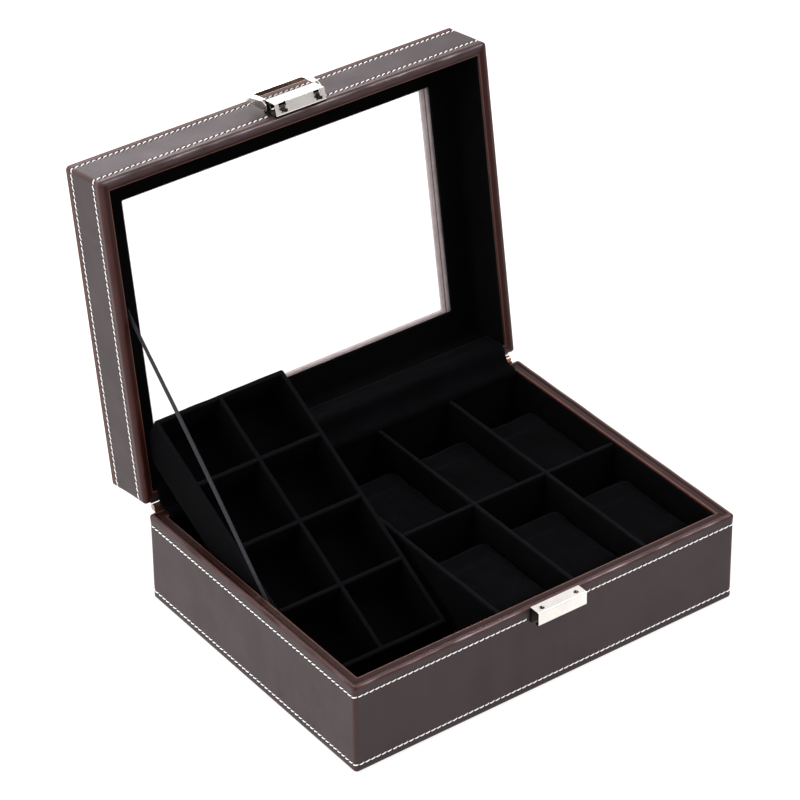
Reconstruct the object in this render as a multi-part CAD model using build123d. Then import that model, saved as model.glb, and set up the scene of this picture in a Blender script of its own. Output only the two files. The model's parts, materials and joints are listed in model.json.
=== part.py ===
from build123d import *
import math
import os

# Glazed jewellery and watch box, leather over board, lined with velvet.
# Own frame in millimetres: X to the right along the front, Y towards the
# back, Z up. Origin: centre of the underside. The front face is at -Y.
# Modelled as it stands open: lid up against its ribbon stay, lift-out tray
# leaning in the left bay, clasp lever raised.

# ---------------------------------------------------------------- dimensions
WIDTH = 280.0            # outside, left to right
DEPTH = 212.0            # outside, front to back
BASE_H = 61.5            # base, floor to rim
RIM_GAP = 0.4            # between the two rims when shut
LID_H = 37.1             # lid, rim to top face
CORNER_R = 2.5           # upright outside corners
SKIN = 0.9               # leather with its paste
BASE_BOARD = 6.4         # base wall board
LID_BOARD = 5.0          # lid wall board
LINING = 1.2             # velvet on its card
RIM_LIP = 2.0            # leather turned down inside the rims
FELT = 0.8               # underside felt
FLOOR_BOARD = 2.4
FLOOR_LINING = 0.8

DIV_T = 3.0              # divider thickness
DIV_TOP = 59.2           # top of the dividers
X_CENTRAL = -30.0        # middle of the divider beside the tray bay
X_COL_LEFT = 24.5
X_COL_RIGHT = 79.0
Y_ROW = -0.5
HALF_LAP_Z = 31.6

PILLOW = (50.0, 70.0, 40.0)
PILLOW_Z = 4.3
PILLOW_R = 6.0
PILLOW_X = (-2.75, 51.75, 106.0)
PILLOW_Y_FRONT = -49.0
PILLOW_Y_REAR = 44.0

TRAY_W = 93.0            # outside, along X
TRAY_L = 189.0           # outside, along Y
TRAY_H = 30.0
TRAY_T = 3.0
TRAY_FLOOR = 2.4
TRAY_X = -83.5           # middle of the tray
TRAY_HOME_Y = 2.1        # middle of its top when it lies flat
TRAY_HOME_Z = 57.0       # its top when it lies flat
TRAY_REST_Y = 27.1       # middle of its top as it leans
TRAY_REST_Z = 77.3
TRAY_TILT = 28.7         # rear end up
SUPPORT_TOP = 26.6       # what the tray lies on

LID_OPEN = 98.2          # degrees from shut
HINGE_Y = 108.9
HINGE_Z = 62.5
HINGE_R = 2.0
PIN_R = 0.9
PIN_PLAY = 0.06
LEAF_T = 0.8
LEAF_H = 12.0
LEAF_HALF = 135.0
KNUCKLES = 9

GLASS_T = 1.8
TOP_FRAME = 3.4          # leather and board above the glass
WINDOW_X = (-107.7, 110.4)     # opening in the leather
WINDOW_Y = (-73.8, 76.8)
VELVET_X = (-109.6, 114.2)     # opening in the velvet frame
VELVET_Y = (-75.6, 78.2)
GLASS_X = 119.5
GLASS_Y = 85.5

STITCH_H = 0.8
STITCH_PROUD = 0.15
STITCH_IN = 0.35
STITCH_BASE_UP = 54.5    # heights of the stitch lines
STITCH_BASE_LOW = 5.6
STITCH_LID_LOW = 68.9
STITCH_LID_UP = 93.2

CLASP_X = 3.0            # middle of the clasp and keeper
CLASP_HALF = 18.0
CLAW_X = (-9.5, 15.5)
PIVOT_Y = -110.5
PIVOT_Z = 71.5
CHEEK_HALF = 20.3

os.makedirs("parts", exist_ok=True)

HX, HY = WIDTH / 2, DEPTH / 2
RIM_Z = BASE_H + RIM_GAP             # lid rim when shut
TOP_Z = RIM_Z + LID_H                # top face when shut
FRONT = -HY


# ------------------------------------------------------------------- helpers
def blk(x0, x1, y0, y1, z0, z1):
    """Block between two corners."""
    return Pos((x0 + x1) / 2, (y0 + y1) / 2, (z0 + z1) / 2) * Box(
        x1 - x0, y1 - y0, z1 - z0
    )


def rblk(hx, hy, z0, z1, r):
    """Block centred on Z with rounded upright corners."""
    s = RectangleRounded(2 * hx, 2 * hy, r) if r > 0 else Rectangle(2 * hx, 2 * hy)
    return Pos(0, 0, z0) * extrude(s, amount=z1 - z0)


def xcyl(y, z, r, x0, x1):
    """Cylinder along X."""
    return Pos((x0 + x1) / 2, y, z) * Rot(0, 90, 0) * Cylinder(r, x1 - x0)


def ycyl(x, z, r, y0, y1):
    """Cylinder along Y."""
    return Pos(x, (y0 + y1) / 2, z) * Rot(90, 0, 0) * Cylinder(r, y1 - y0)


def xprofile(points, x0, x1):
    """Closed outline in (y, z) drawn out along X."""
    face = make_face(Polyline(*[(0, y, z) for y, z in points], close=True))
    solid = extrude(face, amount=x1 - x0, dir=(1, 0, 0))
    return Pos(x0, 0, 0) * solid


def rounded(shape, edges, radius):
    """Fillet, or the sharp shape where the radius does not fit."""
    try:
        out = fillet(edges, radius)
        return out if out.volume > 0 else shape
    except Exception:
        return shape


def lid_up(shape):
    """From shut to open against the stay."""
    return shape.rotate(Axis((0, HINGE_Y, HINGE_Z), (1, 0, 0)), -LID_OPEN)


def tray_up(shape):
    """From flat in its bay to leaning."""
    shape = shape.rotate(Axis((0, TRAY_HOME_Y, TRAY_HOME_Z), (1, 0, 0)), TRAY_TILT)
    return Pos(0, TRAY_REST_Y - TRAY_HOME_Y, TRAY_REST_Z - TRAY_HOME_Z) * shape


def save(name, shape):
    solids = shape.solids()
    out = solids[0] if len(solids) == 1 else Compound(children=list(solids))
    export_step(out, os.path.join("parts", name + ".step"))
    print(f"{name}: {len(solids)} solid(s), {sum(s.volume for s in solids):.0f} mm3")


def stitch_band(z):
    """Thread lying in its groove round the outside."""
    z0, z1 = z - STITCH_H / 2, z + STITCH_H / 2
    outer = rblk(HX + STITCH_PROUD, HY + STITCH_PROUD, z0, z1, CORNER_R + STITCH_PROUD)
    inner = rblk(HX - STITCH_IN, HY - STITCH_IN, z0, z1, CORNER_R - STITCH_IN)
    return outer - inner


# ---------------------------------------------------------- holes and screws
leaf_screw_x = [s * v for v in (17.0, 51.0, 85.0, 119.0) for s in (-1, 1)]
BASE_SCREW_Z = 57.8
LID_SCREW_Z = 72.5


def leaf_screws(z):
    """Countersunk screws through a hinge leaf into the back board."""
    out = None
    for x in leaf_screw_x:
        head = Pos(x, HY + LEAF_T / 2, z) * Rot(-90, 0, 0) * Cone(1.1, 2.2, LEAF_T)
        shank = ycyl(x, z, 1.1, HY - 5.0, HY)
        one = head + shank
        out = one if out is None else out + one
    return out


base_screws = leaf_screws(BASE_SCREW_Z)
lid_screws = leaf_screws(LID_SCREW_Z)

# ---------------------------------------------------------------------- base
BOARD_X, BOARD_Y = HX - SKIN, HY - SKIN            # outer faces of the boards
IN_X, IN_Y = BOARD_X - BASE_BOARD, BOARD_Y - BASE_BOARD   # inner faces
FACE_X, FACE_Y = IN_X - LINING, IN_Y - LINING      # velvet faces
Z_BOARD0, Z_BOARD1 = FELT, BASE_H - SKIN
Z_FLOOR0 = FELT + FLOOR_BOARD
Z_FLOOR = Z_FLOOR0 + FLOOR_LINING

outer_boards = rblk(BOARD_X, BOARD_Y, Z_BOARD0, Z_BOARD1, CORNER_R - SKIN)
hollow = blk(-IN_X, IN_X, -IN_Y, IN_Y, 0, 100)
frame_boards = outer_boards - hollow

# Keeper nails and rivets also pass through the front boards.
NAIL_X = (-7.1, 17.9)
NAIL_Z = 59.3
nails = None
for x in NAIL_X:
    n = ycyl(x, NAIL_Z, 0.7, FRONT - 1.0, FRONT + 5.0)
    head = Pos(x, FRONT - 1.0, NAIL_Z) * Rot(90, 0, 0) * (
        Cylinder(1.7, 0.9, align=(Align.CENTER, Align.CENTER, Align.MIN))
    )
    head = rounded(head, head.edges().group_by(Axis.Y)[0], 0.6)
    n = n + head
    nails = n if nails is None else nails + n

front_cut = blk(-HX, HX, -HY, -IN_Y, 0, 100)
back_cut = blk(-HX, HX, IN_Y, HY, 0, 100)
left_cut = blk(-HX, -IN_X, -IN_Y, IN_Y, 0, 100)
right_cut = blk(IN_X, HX, -IN_Y, IN_Y, 0, 100)
save("base_front_board", (frame_boards & front_cut) - nails)
save("base_back_board", (frame_boards & back_cut) - base_screws)
save("base_left_board", frame_boards & left_cut)
save("base_right_board", frame_boards & right_cut)
save("base_bottom_board", blk(-IN_X, IN_X, -IN_Y, IN_Y, Z_BOARD0, Z_FLOOR0))
save("base_bottom_felt", rblk(HX - 3.0, HY - 3.0, 0, FELT, 2.0))

# Leather: outside, over the rim, and a lip turned down inside it.
wrap = rblk(HX, HY, Z_BOARD0, BASE_H, CORNER_R)
wrap = rounded(wrap, wrap.edges().group_by(Axis.Z)[-1], 0.8)
wrap = wrap - outer_boards
wrap = wrap - blk(-IN_X + SKIN, IN_X - SKIN, -IN_Y + SKIN, IN_Y - SKIN, 0, 100)
wrap = wrap - blk(-IN_X, IN_X, -IN_Y, IN_Y, 0, BASE_H - RIM_LIP)
wrap = wrap - nails - base_screws
band_up, band_low = stitch_band(STITCH_BASE_UP), stitch_band(STITCH_BASE_LOW)
wrap = wrap - band_up - band_low
save("base_leather_wrap", wrap)
leaf_zone = blk(-LEAF_HALF, LEAF_HALF, HY, HY + 5, 0, 200)
keeper_zone = blk(CLASP_X - 17.7, CLASP_X + 17.7, -HY - 5, -HY, 0, 200)
save("base_stitching_upper", band_up - leaf_zone - keeper_zone)
save("base_stitching_lower", band_low)

lining = blk(-IN_X, IN_X, -IN_Y, IN_Y, Z_FLOOR, BASE_H - RIM_LIP) - blk(
    -FACE_X, FACE_X, -FACE_Y, FACE_Y, 0, 100
)
save("base_wall_lining", lining)
save("base_floor_lining", blk(-IN_X, IN_X, -IN_Y, IN_Y, Z_FLOOR0, Z_FLOOR))

# ------------------------------------------------------------------ dividers
h = DIV_T / 2
central = blk(X_CENTRAL - h, X_CENTRAL + h, -FACE_Y, FACE_Y, Z_FLOOR, DIV_TOP)
row = blk(X_CENTRAL + h, FACE_X, Y_ROW - h, Y_ROW + h, Z_FLOOR, DIV_TOP)
for xc in (X_COL_LEFT, X_COL_RIGHT):
    row = row - blk(xc - h, xc + h, Y_ROW - h, Y_ROW + h, HALF_LAP_Z, DIV_TOP)
save("central_divider", central)
save("row_divider", row)
for name, xc in (("column_divider_left", X_COL_LEFT), ("column_divider_right", X_COL_RIGHT)):
    col = blk(xc - h, xc + h, -FACE_Y, FACE_Y, Z_FLOOR, DIV_TOP)
    col = col - blk(xc - h, xc + h, Y_ROW - h, Y_ROW + h, Z_FLOOR, HALF_LAP_Z)
    save(name, col)

# What carries the tray: a low partition across the bay and a rear ledge.
BAY_X0, BAY_X1 = -FACE_X, X_CENTRAL - h
save(
    "tray_support_partition",
    blk(BAY_X0, BAY_X1, Y_ROW - h, Y_ROW + h, Z_FLOOR, SUPPORT_TOP),
)
save("tray_rear_ledge", blk(BAY_X0, BAY_X1, FACE_Y - 4.0, FACE_Y, Z_FLOOR, SUPPORT_TOP))

# ------------------------------------------------------------- watch pillows
pw, pl, ph = PILLOW
for row_name, yc in (("front", PILLOW_Y_FRONT), ("rear", PILLOW_Y_REAR)):
    for col_name, xc in zip(("left", "middle", "right"), PILLOW_X):
        p = Pos(xc, yc, PILLOW_Z + ph / 2) * Box(pw, pl, ph)
        p = rounded(p, p.edges(), PILLOW_R)
        save(f"pillow_{row_name}_{col_name}", p)

# ------------------------------------------------------------- lift-out tray
tx0, tx1 = TRAY_X - TRAY_W / 2, TRAY_X + TRAY_W / 2
ty0, ty1 = TRAY_HOME_Y - TRAY_L / 2, TRAY_HOME_Y + TRAY_L / 2
tz0, tz1 = TRAY_HOME_Z - TRAY_H, TRAY_HOME_Z
t = TRAY_T
tray_floor_z = tz0 + TRAY_FLOOR
tray_frame = blk(tx0, tx1, ty0, ty1, tz0, tz1)
tray_frame = rounded(tray_frame, tray_frame.edges().filter_by(Axis.Z), 1.5)
tray_frame = tray_frame - blk(tx0 + t, tx1 - t, ty0 + t, ty1 - t, tz0, tz1)
save("tray_frame", tray_up(tray_frame))
save("tray_floor", tray_up(blk(tx0 + t, tx1 - t, ty0 + t, ty1 - t, tz0, tray_floor_z)))
TRAY_PITCH = (TRAY_L - t) / 4
TRAY_LAP_Z = (tray_floor_z + tz1) / 2
long_div = blk(TRAY_X - t / 2, TRAY_X + t / 2, ty0 + t, ty1 - t, tray_floor_z, tz1)
cross_y = [ty0 + t / 2 + TRAY_PITCH * k for k in (1, 2, 3)]
for yc in cross_y:
    long_div = long_div - blk(
        TRAY_X - t / 2, TRAY_X + t / 2, yc - t / 2, yc + t / 2, tray_floor_z, TRAY_LAP_Z
    )
save("tray_long_divider", tray_up(long_div))
for name, yc in zip(("front", "middle", "rear"), cross_y):
    cross = blk(tx0 + t, tx1 - t, yc - t / 2, yc + t / 2, tray_floor_z, tz1)
    cross = cross - blk(
        TRAY_X - t / 2, TRAY_X + t / 2, yc - t / 2, yc + t / 2, TRAY_LAP_Z, tz1
    )
    save(f"tray_cross_divider_{name}", tray_up(cross))

# ----------------------------------------------------------------------- lid
# Everything here is laid out shut, then turned up about the hinge.
LIN_X, LIN_Y = BOARD_X - LID_BOARD, BOARD_Y - LID_BOARD
LFACE_X, LFACE_Y = LIN_X - LINING, LIN_Y - LINING
TOP_LEATHER = 0.7
FOLD_T = 0.7
z_top_board1 = TOP_Z - TOP_LEATHER
z_fold0 = TOP_Z - TOP_FRAME                # glass lies under this
z_board_over = z_fold0 + FOLD_T            # underside of the board at the window
z_glass0 = z_fold0 - GLASS_T
z_velvet0 = z_glass0 - LINING

rivet_x = (CLASP_X - 13.0, CLASP_X + 13.0)
RIVET_Z = 74.0
rivets = None
for x in rivet_x:
    r = ycyl(x, RIVET_Z, 0.7, FRONT - 0.8, FRONT + 4.0) + ycyl(
        x, RIVET_Z, 1.5, FRONT - 1.3, FRONT - 0.8
    )
    rivets = r if rivets is None else rivets + r

lid_outer = rblk(BOARD_X, BOARD_Y, RIM_Z + SKIN, z_board_over, CORNER_R - SKIN)
lid_frame = lid_outer - blk(-LIN_X, LIN_X, -LIN_Y, LIN_Y, 0, 200)
cuts = {
    "front": blk(-HX, HX, -HY, -LIN_Y, 0, 200),
    "back": blk(-HX, HX, LIN_Y, HY, 0, 200),
    "left": blk(-HX, -LIN_X, -LIN_Y, LIN_Y, 0, 200),
    "right": blk(LIN_X, HX, -LIN_Y, LIN_Y, 0, 200),
}
for side, cut in cuts.items():
    b = lid_frame & cut
    if side == "front":
        b = b - rivets
    if side == "back":
        b = b - lid_screws
    save(f"lid_{side}_board", lid_up(b))

# Rebated board: over the walls, with a seat for the glass.
top_board = rblk(BOARD_X, BOARD_Y, z_board_over, z_top_board1, CORNER_R - SKIN)
top_board = top_board + blk(-LIN_X, LIN_X, -LIN_Y, LIN_Y, z_glass0, z_board_over)
top_board = top_board - blk(-GLASS_X, GLASS_X, -GLASS_Y, GLASS_Y, 0, z_board_over)
wx0, wx1 = WINDOW_X
wy0, wy1 = WINDOW_Y
win_cut = blk(
    wx0 - TOP_LEATHER, wx1 + TOP_LEATHER, wy0 - TOP_LEATHER, wy1 + TOP_LEATHER, 0, 200,
)
save("lid_top_board", lid_up(top_board - win_cut))

# Top leather: over the board, through the window and back under the board.
top_leather = rblk(HX, HY, z_top_board1, TOP_Z, CORNER_R)
top_leather = rounded(top_leather, top_leather.edges().group_by(Axis.Z)[-1], 0.5)
top_leather = top_leather + (
    blk(wx0 - TOP_LEATHER, wx1 + TOP_LEATHER, wy0 - TOP_LEATHER, wy1 + TOP_LEATHER,
        z_fold0, z_top_board1)
)
top_leather = top_leather + blk(
    -GLASS_X, GLASS_X, -GLASS_Y, GLASS_Y, z_fold0, z_board_over
)
top_leather = top_leather - blk(wx0, wx1, wy0, wy1, 0, 200)
save("lid_top_leather", lid_up(top_leather))
save("lid_glass", lid_up(blk(-GLASS_X, GLASS_X, -GLASS_Y, GLASS_Y, z_glass0, z_fold0)))
window_velvet = blk(-LIN_X, LIN_X, -LIN_Y, LIN_Y, z_velvet0, z_glass0) - blk(
    VELVET_X[0], VELVET_X[1], VELVET_Y[0], VELVET_Y[1], 0, 200
)
save("lid_window_velvet", lid_up(window_velvet))

lwrap = rblk(HX, HY, RIM_Z, z_top_board1, CORNER_R)
lwrap = rounded(lwrap, lwrap.edges().group_by(Axis.Z)[0], 0.8)
lwrap = lwrap - rblk(BOARD_X, BOARD_Y, RIM_Z + SKIN, 200, CORNER_R - SKIN)
lwrap = lwrap - blk(-LIN_X + SKIN, LIN_X - SKIN, -LIN_Y + SKIN, LIN_Y - SKIN, 0, 200)
lid_lip = blk(-LIN_X, LIN_X, -LIN_Y, LIN_Y, RIM_Z + SKIN, RIM_Z + RIM_LIP) - blk(
    -LIN_X + SKIN, LIN_X - SKIN, -LIN_Y + SKIN, LIN_Y - SKIN, 0, 200
)
lwrap = lwrap + lid_lip
lwrap = lwrap - rivets - lid_screws
lband_low, lband_up = stitch_band(STITCH_LID_LOW), stitch_band(STITCH_LID_UP)
lwrap = lwrap - lband_low - lband_up
save("lid_leather_wrap", lid_up(lwrap))
save("lid_stitching_upper", lid_up(lband_up))
clasp_zone = blk(
    CLASP_X - CLASP_HALF, CLASP_X + CLASP_HALF, FRONT - 5, FRONT, 0, 200
)
save("lid_stitching_lower", lid_up(lband_low - leaf_zone - clasp_zone))
lid_lining = blk(-LIN_X, LIN_X, -LIN_Y, LIN_Y, RIM_Z + RIM_LIP, z_velvet0) - blk(
    -LFACE_X, LFACE_X, -LFACE_Y, LFACE_Y, 0, 200
)
save("lid_wall_lining", lid_up(lid_lining))

# --------------------------------------------------------------------- hinge
K_LEN = 2 * LEAF_HALF / KNUCKLES


def leaf(up):
    """Piano-hinge leaf with its knuckles: every other one each."""
    s = 1 if up else -1
    z_web0 = HINGE_Z + s * (HINGE_R - LEAF_T)
    z_web1 = HINGE_Z + s * HINGE_R
    z_end = HINGE_Z + s * (HINGE_R - LEAF_T + LEAF_H)
    plate = blk(-LEAF_HALF, LEAF_HALF, HY, HY + LEAF_T,
                min(z_web0, z_end), max(z_web0, z_end))
    out = plate
    for k in range(KNUCKLES):
        if (k % 2 == 1) != up:
            continue
        x0 = -LEAF_HALF + k * K_LEN + 0.15
        x1 = x0 + K_LEN - 0.3
        out = out + xcyl(HINGE_Y, HINGE_Z, HINGE_R, x0, x1)
        out = out + blk(x0, x1, HY, HINGE_Y, min(z_web0, z_web1), max(z_web0, z_web1))
    bore = PIN_R + (PIN_PLAY if up else 0.0)
    out = out - xcyl(HINGE_Y, HINGE_Z, bore, -HX, HX)
    return out


save("hinge_base_leaf", leaf(False) - base_screws)
save("hinge_lid_leaf", lid_up(leaf(True) - lid_screws))
save("hinge_pin", xcyl(HINGE_Y, HINGE_Z, PIN_R, -LEAF_HALF, LEAF_HALF))
save("hinge_base_screws", base_screws)
save("hinge_lid_screws", lid_up(lid_screws))

# -------------------------------------------------------------------- keeper
# One bent plate: back flange, top shelf with two holes, front wall, short lip.
KZ = 62.2                # top of the shelf
KT = 1.0
kx0, kx1 = CLASP_X - 17.7, CLASP_X + 17.7
keeper_outline = [
    (0.0, 51.5), (0.0, KZ), (-8.0, KZ), (-8.0, 52.9), (-5.2, 52.9),
    (-5.2, 52.9 + KT), (-8.0 + KT, 52.9 + KT), (-8.0 + KT, KZ - KT),
    (-KT, KZ - KT), (-KT, 51.5),
]
keeper = xprofile([(FRONT + y, z) for y, z in keeper_outline], kx0, kx1)
edge_f = [e for e in keeper.edges().filter_by(Axis.X)
          if abs(e.center().Y - (FRONT - 8.0)) < 0.01]
keeper = rounded(keeper, edge_f, 0.9)
for x in CLAW_X:
    keeper = keeper - Pos(x, FRONT - 4.2, KZ - KT / 2) * Cylinder(1.6, 2 * KT)
save("keeper", keeper - nails)
save("keeper_nails", nails)

# --------------------------------------------------------------------- clasp
cx0, cx1 = CLASP_X - CLASP_HALF, CLASP_X + CLASP_HALF
CT = 0.8
plate = blk(cx0, cx1, FRONT - CT, FRONT, 62.7, 76.5) - rivets
save("clasp_back_plate", lid_up(plate))
save("clasp_rivets", lid_up(rivets))

outer_pts = [(-CT, 62.7), (-1.3, 62.7), (-8.2, 63.9), (-8.5, 73.8), (-CT, 73.8)]
inner_pts = [(-CT, 63.43), (-7.42, 64.58), (-7.72, 74.3), (-CT, 74.3)]
shell = xprofile([(FRONT + y, z) for y, z in outer_pts], cx0, cx1)
housing = shell - xprofile([(FRONT + y, z) for y, z in inner_pts], cx0 - 1, cx1 + 1)
for s in (cx0, cx1 - CT):
    ear = xprofile(
        [(FRONT + y, z) for y, z in
         [(-CT, 69.2), (-5.2, 69.2), (-8.35, 71.5), (-8.5, 73.8), (-CT, 73.8)]],
        s, s + CT,
    )
    housing = housing + (ear & shell)
for x in CLAW_X:
    housing = housing - blk(x - 1.5, x + 1.5, FRONT - 6.2, FRONT - 2.1, 60.0, 67.9)
    housing = housing - blk(x - 2.6, x + 2.2, FRONT - 9.0, FRONT - 5.6, 60.0, 65.0)
housing = housing - xcyl(PIVOT_Y, PIVOT_Z, 0.8, cx0 - 1, cx1 + 1)
save("clasp_housing", lid_up(housing))
px0, px1 = CLASP_X - CHEEK_HALF, CLASP_X + CHEEK_HALF
save("clasp_pin", lid_up(xcyl(PIVOT_Y, PIVOT_Z, 0.8, px0, px1)))

# Lever: hub on the pin, plate up through the open top to a cross strip, two
# side arms turned down into cheeks that run on the pin, a bar across their far
# ends, and two claws.
lx0, lx1 = cx0 + CT + 0.35, cx1 - CT - 0.35
lever = xcyl(PIVOT_Y, PIVOT_Z, 1.4, lx0, lx1)
lever = lever + blk(lx0, lx1, FRONT - 5.6, FRONT - 4.8, PIVOT_Z, 75.3)
lever = lever + blk(px0 + 0.1, px1 - 0.1, FRONT - 5.6, FRONT - 4.8, 74.5, 76.4)
handle_half = [
    (CHEEK_HALF, 69.4), (CHEEK_HALF, 72.5), (20.8, 76.0), (21.4, 80.0), (21.9, 84.0),
    (22.3, 88.0), (21.9, 89.6), (21.0, 90.6), (19.6, 91.0),
]


def handle_body(shrink):
    half = [(x - shrink, min(z, 91.0 - shrink)) for x, z in handle_half]
    half[0] = (half[0][0], 69.4 - shrink)
    pts = [(CLASP_X + x, z) for x, z in half]
    pts += [(CLASP_X - x, z) for x, z in reversed(half)]
    face = make_face(Polyline(*[(x, FRONT - 10.0, z) for x, z in pts], close=True))
    return extrude(face, amount=9.0, dir=(0, 1, 0))


cheek_side = [
    (-8.6, 74.4), (-8.5, 83.0), (-8.0, 90.2), (-7.4, 91.0), (-5.4, 91.0), (-4.9, 84.0),
    (-3.1, 74.4), (-3.0, 71.5), (-3.5, 70.0), (-4.8, 69.6), (-6.6, 70.3), (-8.0, 72.0),
]
under_side = [
    (-9.9, 69.0), (-9.9, 74.5), (-7.8, 74.5), (-7.7, 83.0), (-7.4, 87.6), (-5.4, 87.6),
    (-5.4, 90.0), (-1.2, 90.0), (-1.2, 69.0),
]
handle = handle_body(0.0) & xprofile([(FRONT + y, z) for y, z in cheek_side], px0 - 3, px1 + 3)
inner_side = xprofile([(FRONT + y, z) for y, z in under_side], px0 - 3, px1 + 3)
handle = handle - (handle_body(0.8) & inner_side)
window_pts = [(17.0, 68.0), (17.1, 79.0), (17.5, 83.0), (17.7, 86.6), (16.9, 87.6)]
wp = [(CLASP_X + x, z) for x, z in window_pts]
wp += [(CLASP_X - x, z) for x, z in reversed(window_pts)]
window = make_face(Polyline(*[(x, FRONT - 9.5, z) for x, z in wp], close=True))
handle = handle - extrude(window, amount=8.0, dir=(0, 1, 0))
lever = lever + handle
for x in CLAW_X:
    lever = lever + blk(x - 1.0, x + 1.0, FRONT - 4.1, FRONT - 3.2, 59.9, PIVOT_Z)
    lever = lever + blk(x - 1.0, x + 1.0, FRONT - 5.0, FRONT - 3.2, 59.9, 60.7)
lever = lever - xcyl(PIVOT_Y, PIVOT_Z, 0.86, px0 - 1, px1 + 1)
save("clasp_lever", lid_up(lever))

# ---------------------------------------------------------------- soft parts
# Gusset: velvet strip from the base's inside back wall, over both rims, to
# the lid's inside back wall, as it lies with the lid up.
G_T = 0.7
gusset_line = [
    (96.85, 59.7), (96.85, 61.3), (98.0, 62.3), (105.2, 62.3), (106.2, 64.2),
    (107.6, 66.2), (108.3, 71.4), (109.6, 73.1), (112.6, 73.2), (126.5, 71.2),
]


def strip(points, thickness, x0, x1):
    """Thin strip of constant thickness along a bent line in (y, z)."""
    left, right = [], []
    n = len(points)
    for i in range(n):
        a = points[max(i - 1, 0)]
        b = points[min(i + 1, n - 1)]
        p = points[i]
        dirs = []
        if i > 0:
            d = math.hypot(p[0] - a[0], p[1] - a[1])
            dirs.append(((p[0] - a[0]) / d, (p[1] - a[1]) / d))
        if i < n - 1:
            d = math.hypot(b[0] - p[0], b[1] - p[1])
            dirs.append(((b[0] - p[0]) / d, (b[1] - p[1]) / d))
        nx = -sum(d[1] for d in dirs) / len(dirs)
        ny = sum(d[0] for d in dirs) / len(dirs)
        m = math.hypot(nx, ny)
        nx, ny = nx / m, ny / m
        c = nx * -dirs[0][1] + ny * dirs[0][0]
        k = thickness / 2 / max(c, 0.5)
        left.append((p[0] + nx * k, p[1] + ny * k))
        right.append((p[0] - nx * k, p[1] - ny * k))
    return xprofile(left + right[::-1], x0, x1)


save("hinge_gusset", strip(gusset_line, G_T, -130.6, 130.6))

# Ribbon stay, pulled straight by the open lid, beside the left walls.
ra, rb = (-4.5, 61.6), (126.0, 185.0)      # where it crosses the two rims
rl = math.hypot(rb[0] - ra[0], rb[1] - ra[1])
ux, uz = (rb[0] - ra[0]) / rl, (rb[1] - ra[1]) / rl
RIBBON_W, RIBBON_T, RIBBON_IN = 4.0, 0.5, 8.0
p0 = (ra[0] - ux * RIBBON_IN, ra[1] - uz * RIBBON_IN)
p1 = (rb[0] + ux * RIBBON_IN, rb[1] + uz * RIBBON_IN)
hw = RIBBON_W / 2
ribbon = xprofile(
    [(p0[0] - uz * hw, p0[1] + ux * hw), (p1[0] - uz * hw, p1[1] + ux * hw),
     (p1[0] + uz * hw, p1[1] - ux * hw), (p0[0] + uz * hw, p0[1] - ux * hw)],
    -131.2, -131.2 + RIBBON_T,
)
save("ribbon_stay", ribbon)
print("ribbon length", round(rl + 2 * RIBBON_IN, 1))
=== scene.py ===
import bpy
import bmesh
import json
import math
import numpy as np
from mathutils import Matrix, Vector


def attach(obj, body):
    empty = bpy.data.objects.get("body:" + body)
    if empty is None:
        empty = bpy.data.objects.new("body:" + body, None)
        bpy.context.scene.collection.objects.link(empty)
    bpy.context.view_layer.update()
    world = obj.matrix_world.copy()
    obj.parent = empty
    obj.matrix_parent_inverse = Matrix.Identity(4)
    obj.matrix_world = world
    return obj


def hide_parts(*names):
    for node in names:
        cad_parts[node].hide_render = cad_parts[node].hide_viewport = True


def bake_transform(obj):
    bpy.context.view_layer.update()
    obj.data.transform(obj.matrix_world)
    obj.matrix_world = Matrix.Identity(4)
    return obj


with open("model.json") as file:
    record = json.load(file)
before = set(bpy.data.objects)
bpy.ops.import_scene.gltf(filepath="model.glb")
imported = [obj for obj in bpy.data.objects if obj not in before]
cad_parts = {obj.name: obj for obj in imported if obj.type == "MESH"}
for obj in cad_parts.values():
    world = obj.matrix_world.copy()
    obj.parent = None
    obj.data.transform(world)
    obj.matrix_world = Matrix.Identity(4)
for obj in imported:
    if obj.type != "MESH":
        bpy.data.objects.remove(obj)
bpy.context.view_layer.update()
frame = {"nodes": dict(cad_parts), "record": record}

MM = 0.001

# Leather jewellery and watch box with a glazed lid. Everything here is laid
# out in millimetres, in the same frame as the construction, and turned into
# metres when a mesh is written. The lid's pieces are laid out shut and turned
# up about the hinge, the tray's are laid out flat and tipped up.

WIDTH, DEPTH, BASE_H = 280.0, 212.0, 61.5
HX, HY = WIDTH / 2, DEPTH / 2
RIM_Z, TOP_Z = 61.9, 99.0
HINGE_Y, HINGE_Z = 108.9, 62.5
LID_OPEN, TRAY_TILT = 98.2, 28.7
TRAY_HOME = (2.1, 57.0)
TRAY_REST = (27.1, 77.3)
STITCH_BASE = (54.5, 5.6)
STITCH_LID = (68.9, 93.2)


def turn_x(angle, y, z):
    """Turn in the (y, z) plane, +Y towards +Z, about a line along X."""
    t = Matrix.Translation((0, y, z))
    return t @ Matrix.Rotation(math.radians(angle), 4, "X") @ t.inverted()


LID = turn_x(-LID_OPEN, HINGE_Y, HINGE_Z)
TRAY = Matrix.Translation((0, TRAY_REST[0] - TRAY_HOME[0], TRAY_REST[1] - TRAY_HOME[1])) \
    @ turn_x(TRAY_TILT, *TRAY_HOME)
BASE = Matrix.Identity(4)

# ------------------------------------------------------------------ smooth noise
_rng = np.random.default_rng(7)
_WAVES = {}


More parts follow.
